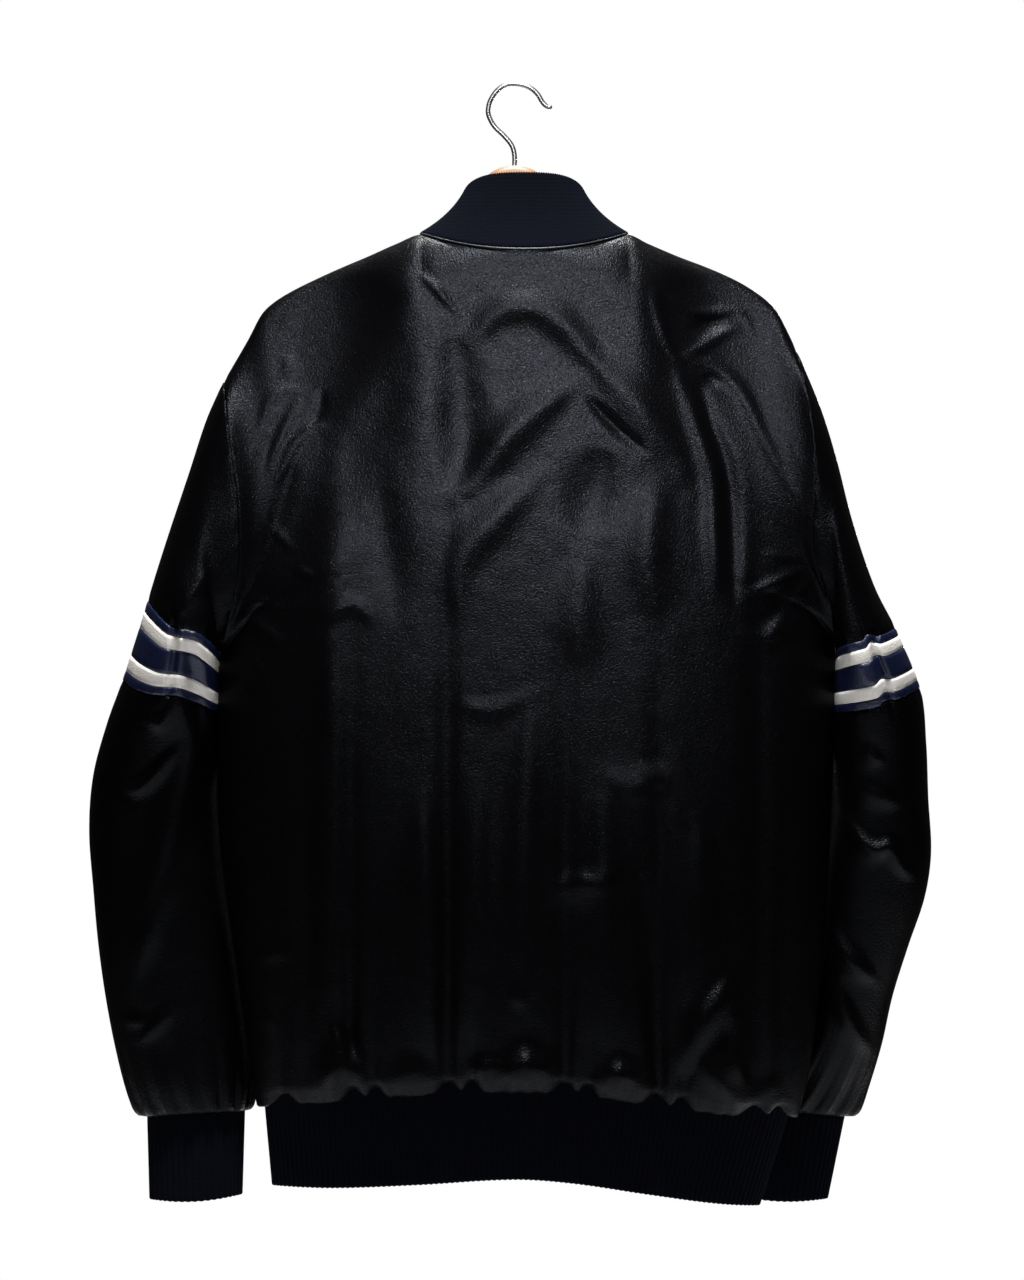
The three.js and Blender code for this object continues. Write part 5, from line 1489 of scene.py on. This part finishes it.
def add_light(light):
    """A soft light that points at its target."""
    data = bpy.data.lights.new(light.name, light.kind)
    data.energy = light.watts
    for setting, value in light.settings.items():
        setattr(data, setting, value)
    lamp = bpy.data.objects.new(light.name, data)
    lamp.location = light.place
    direction = Vector(light.target) - Vector(light.place)
    lamp.rotation_euler = direction.to_track_quat("-Z", "Y").to_euler()
    bpy.context.scene.collection.objects.link(lamp)


class JACKET_OT_stage(bpy.types.Operator):
    """Make the floor, the lights, the pale surroundings and the camera"""

    bl_idname = "jacket.stage"
    bl_label = "Stage"

    def execute(self, context):
        scene = context.scene
        sizes = scene.stage_sizes
        scene.view_settings.view_transform = "Standard"
        turns = np.linspace(0, 2 * math.pi, FLOOR_SIDES, endpoint=False)
        radius, drop = sizes.floor_radius / MM, sizes.floor_drop / MM
        rim = [(radius * math.cos(a), radius * math.sin(a), -drop) for a in turns]
        material, tree, _ = new_material("Pale painted floor")
        finish_material(material, tree, {"Base Color": linear("#dedede"), "Roughness": 0.8})
        floor = make_mesh("floor", rim, [list(range(len(rim)))], material, False)

        world = bpy.data.worlds.new("Pale studio")
        scene.world = world
        world.use_nodes = True
        tree = world.node_tree
        tree.nodes.clear()
        seen = add_node(tree, "ShaderNodeLightPath").outputs["Is Camera Ray"]
        strength = add_node(
            tree, "ShaderNodeMapRange", {"Value": seen, "To Min": SKY_LIGHT, "To Max": SKY_SEEN}
        ).outputs["Result"]
        sky = add_node(tree, "ShaderNodeBackground", {"Color": (1, 1, 1, 1), "Strength": strength})
        add_node(tree, "ShaderNodeOutputWorld", {"Surface": sky.outputs["Background"]})

        for light in LIGHTS:
            add_light(light)

        data = bpy.data.cameras.new("photo_camera")
        data.lens = sizes.focal_length
        data.sensor_width = SENSOR
        data.clip_end = 60
        camera = bpy.data.objects.new("photo_camera", data)
        distance = FRAME_HALF_HEIGHT * sizes.focal_length / (SENSOR / 2)
        camera.location = (CAMERA_X, SHARP_PLANE_Y - distance, CAMERA_HEIGHT)
        camera.rotation_euler = (math.pi / 2, 0, 0)
        scene.collection.objects.link(camera)
        scene.camera = camera
        return {"FINISHED"}


class JACKET_PT_panel(bpy.types.Panel):
    """Lists the steps and the sizes of the jacket"""

    bl_idname = "JACKET_PT_panel"
    bl_label = "Bomber jacket"
    bl_space_type = "VIEW_3D"
    bl_region_type = "UI"
    bl_category = "Jacket"

    def draw(self, context):
        column = self.layout.column()
        for operator in OPERATORS:
            column.operator(operator.bl_idname)
        for group in (context.scene.jacket_sizes, context.scene.jacket_colours, context.scene.stage_sizes):
            for name in group.__annotations__:
                column.prop(group, name)


GROUPS = (JacketSizes, JacketColours, StageSizes)
OPERATORS = (
    JACKET_OT_stage,
    JACKET_OT_hanger,
    JACKET_OT_body,
    JACKET_OT_sleeves,
    JACKET_OT_collar,
    JACKET_OT_hem,
    JACKET_OT_cuffs,
    JACKET_OT_snaps,
)


def register():
    """Adds the classes and the scene's properties."""
    for group in (*GROUPS, *OPERATORS, JACKET_PT_panel):
        bpy.utils.register_class(group)
    bpy.types.Scene.jacket_sizes = PointerProperty(type=JacketSizes)
    bpy.types.Scene.jacket_colours = PointerProperty(type=JacketColours)
    bpy.types.Scene.stage_sizes = PointerProperty(type=StageSizes)


def unregister():
    """Takes the classes and properties away again."""
    for name in ("jacket_sizes", "jacket_colours", "stage_sizes"):
        delattr(bpy.types.Scene, name)
    for group in reversed((*GROUPS, *OPERATORS, JACKET_PT_panel)):
        bpy.utils.unregister_class(group)


def main():
    """Makes every piece in order."""
    register()
    bpy.ops.jacket.stage()
    bpy.ops.jacket.hanger()
    bpy.ops.jacket.body()
    bpy.ops.jacket.sleeves()
    bpy.ops.jacket.collar()
    bpy.ops.jacket.hem()
    bpy.ops.jacket.cuffs()
    bpy.ops.jacket.snaps()


if __name__ == "__main__":
    main()
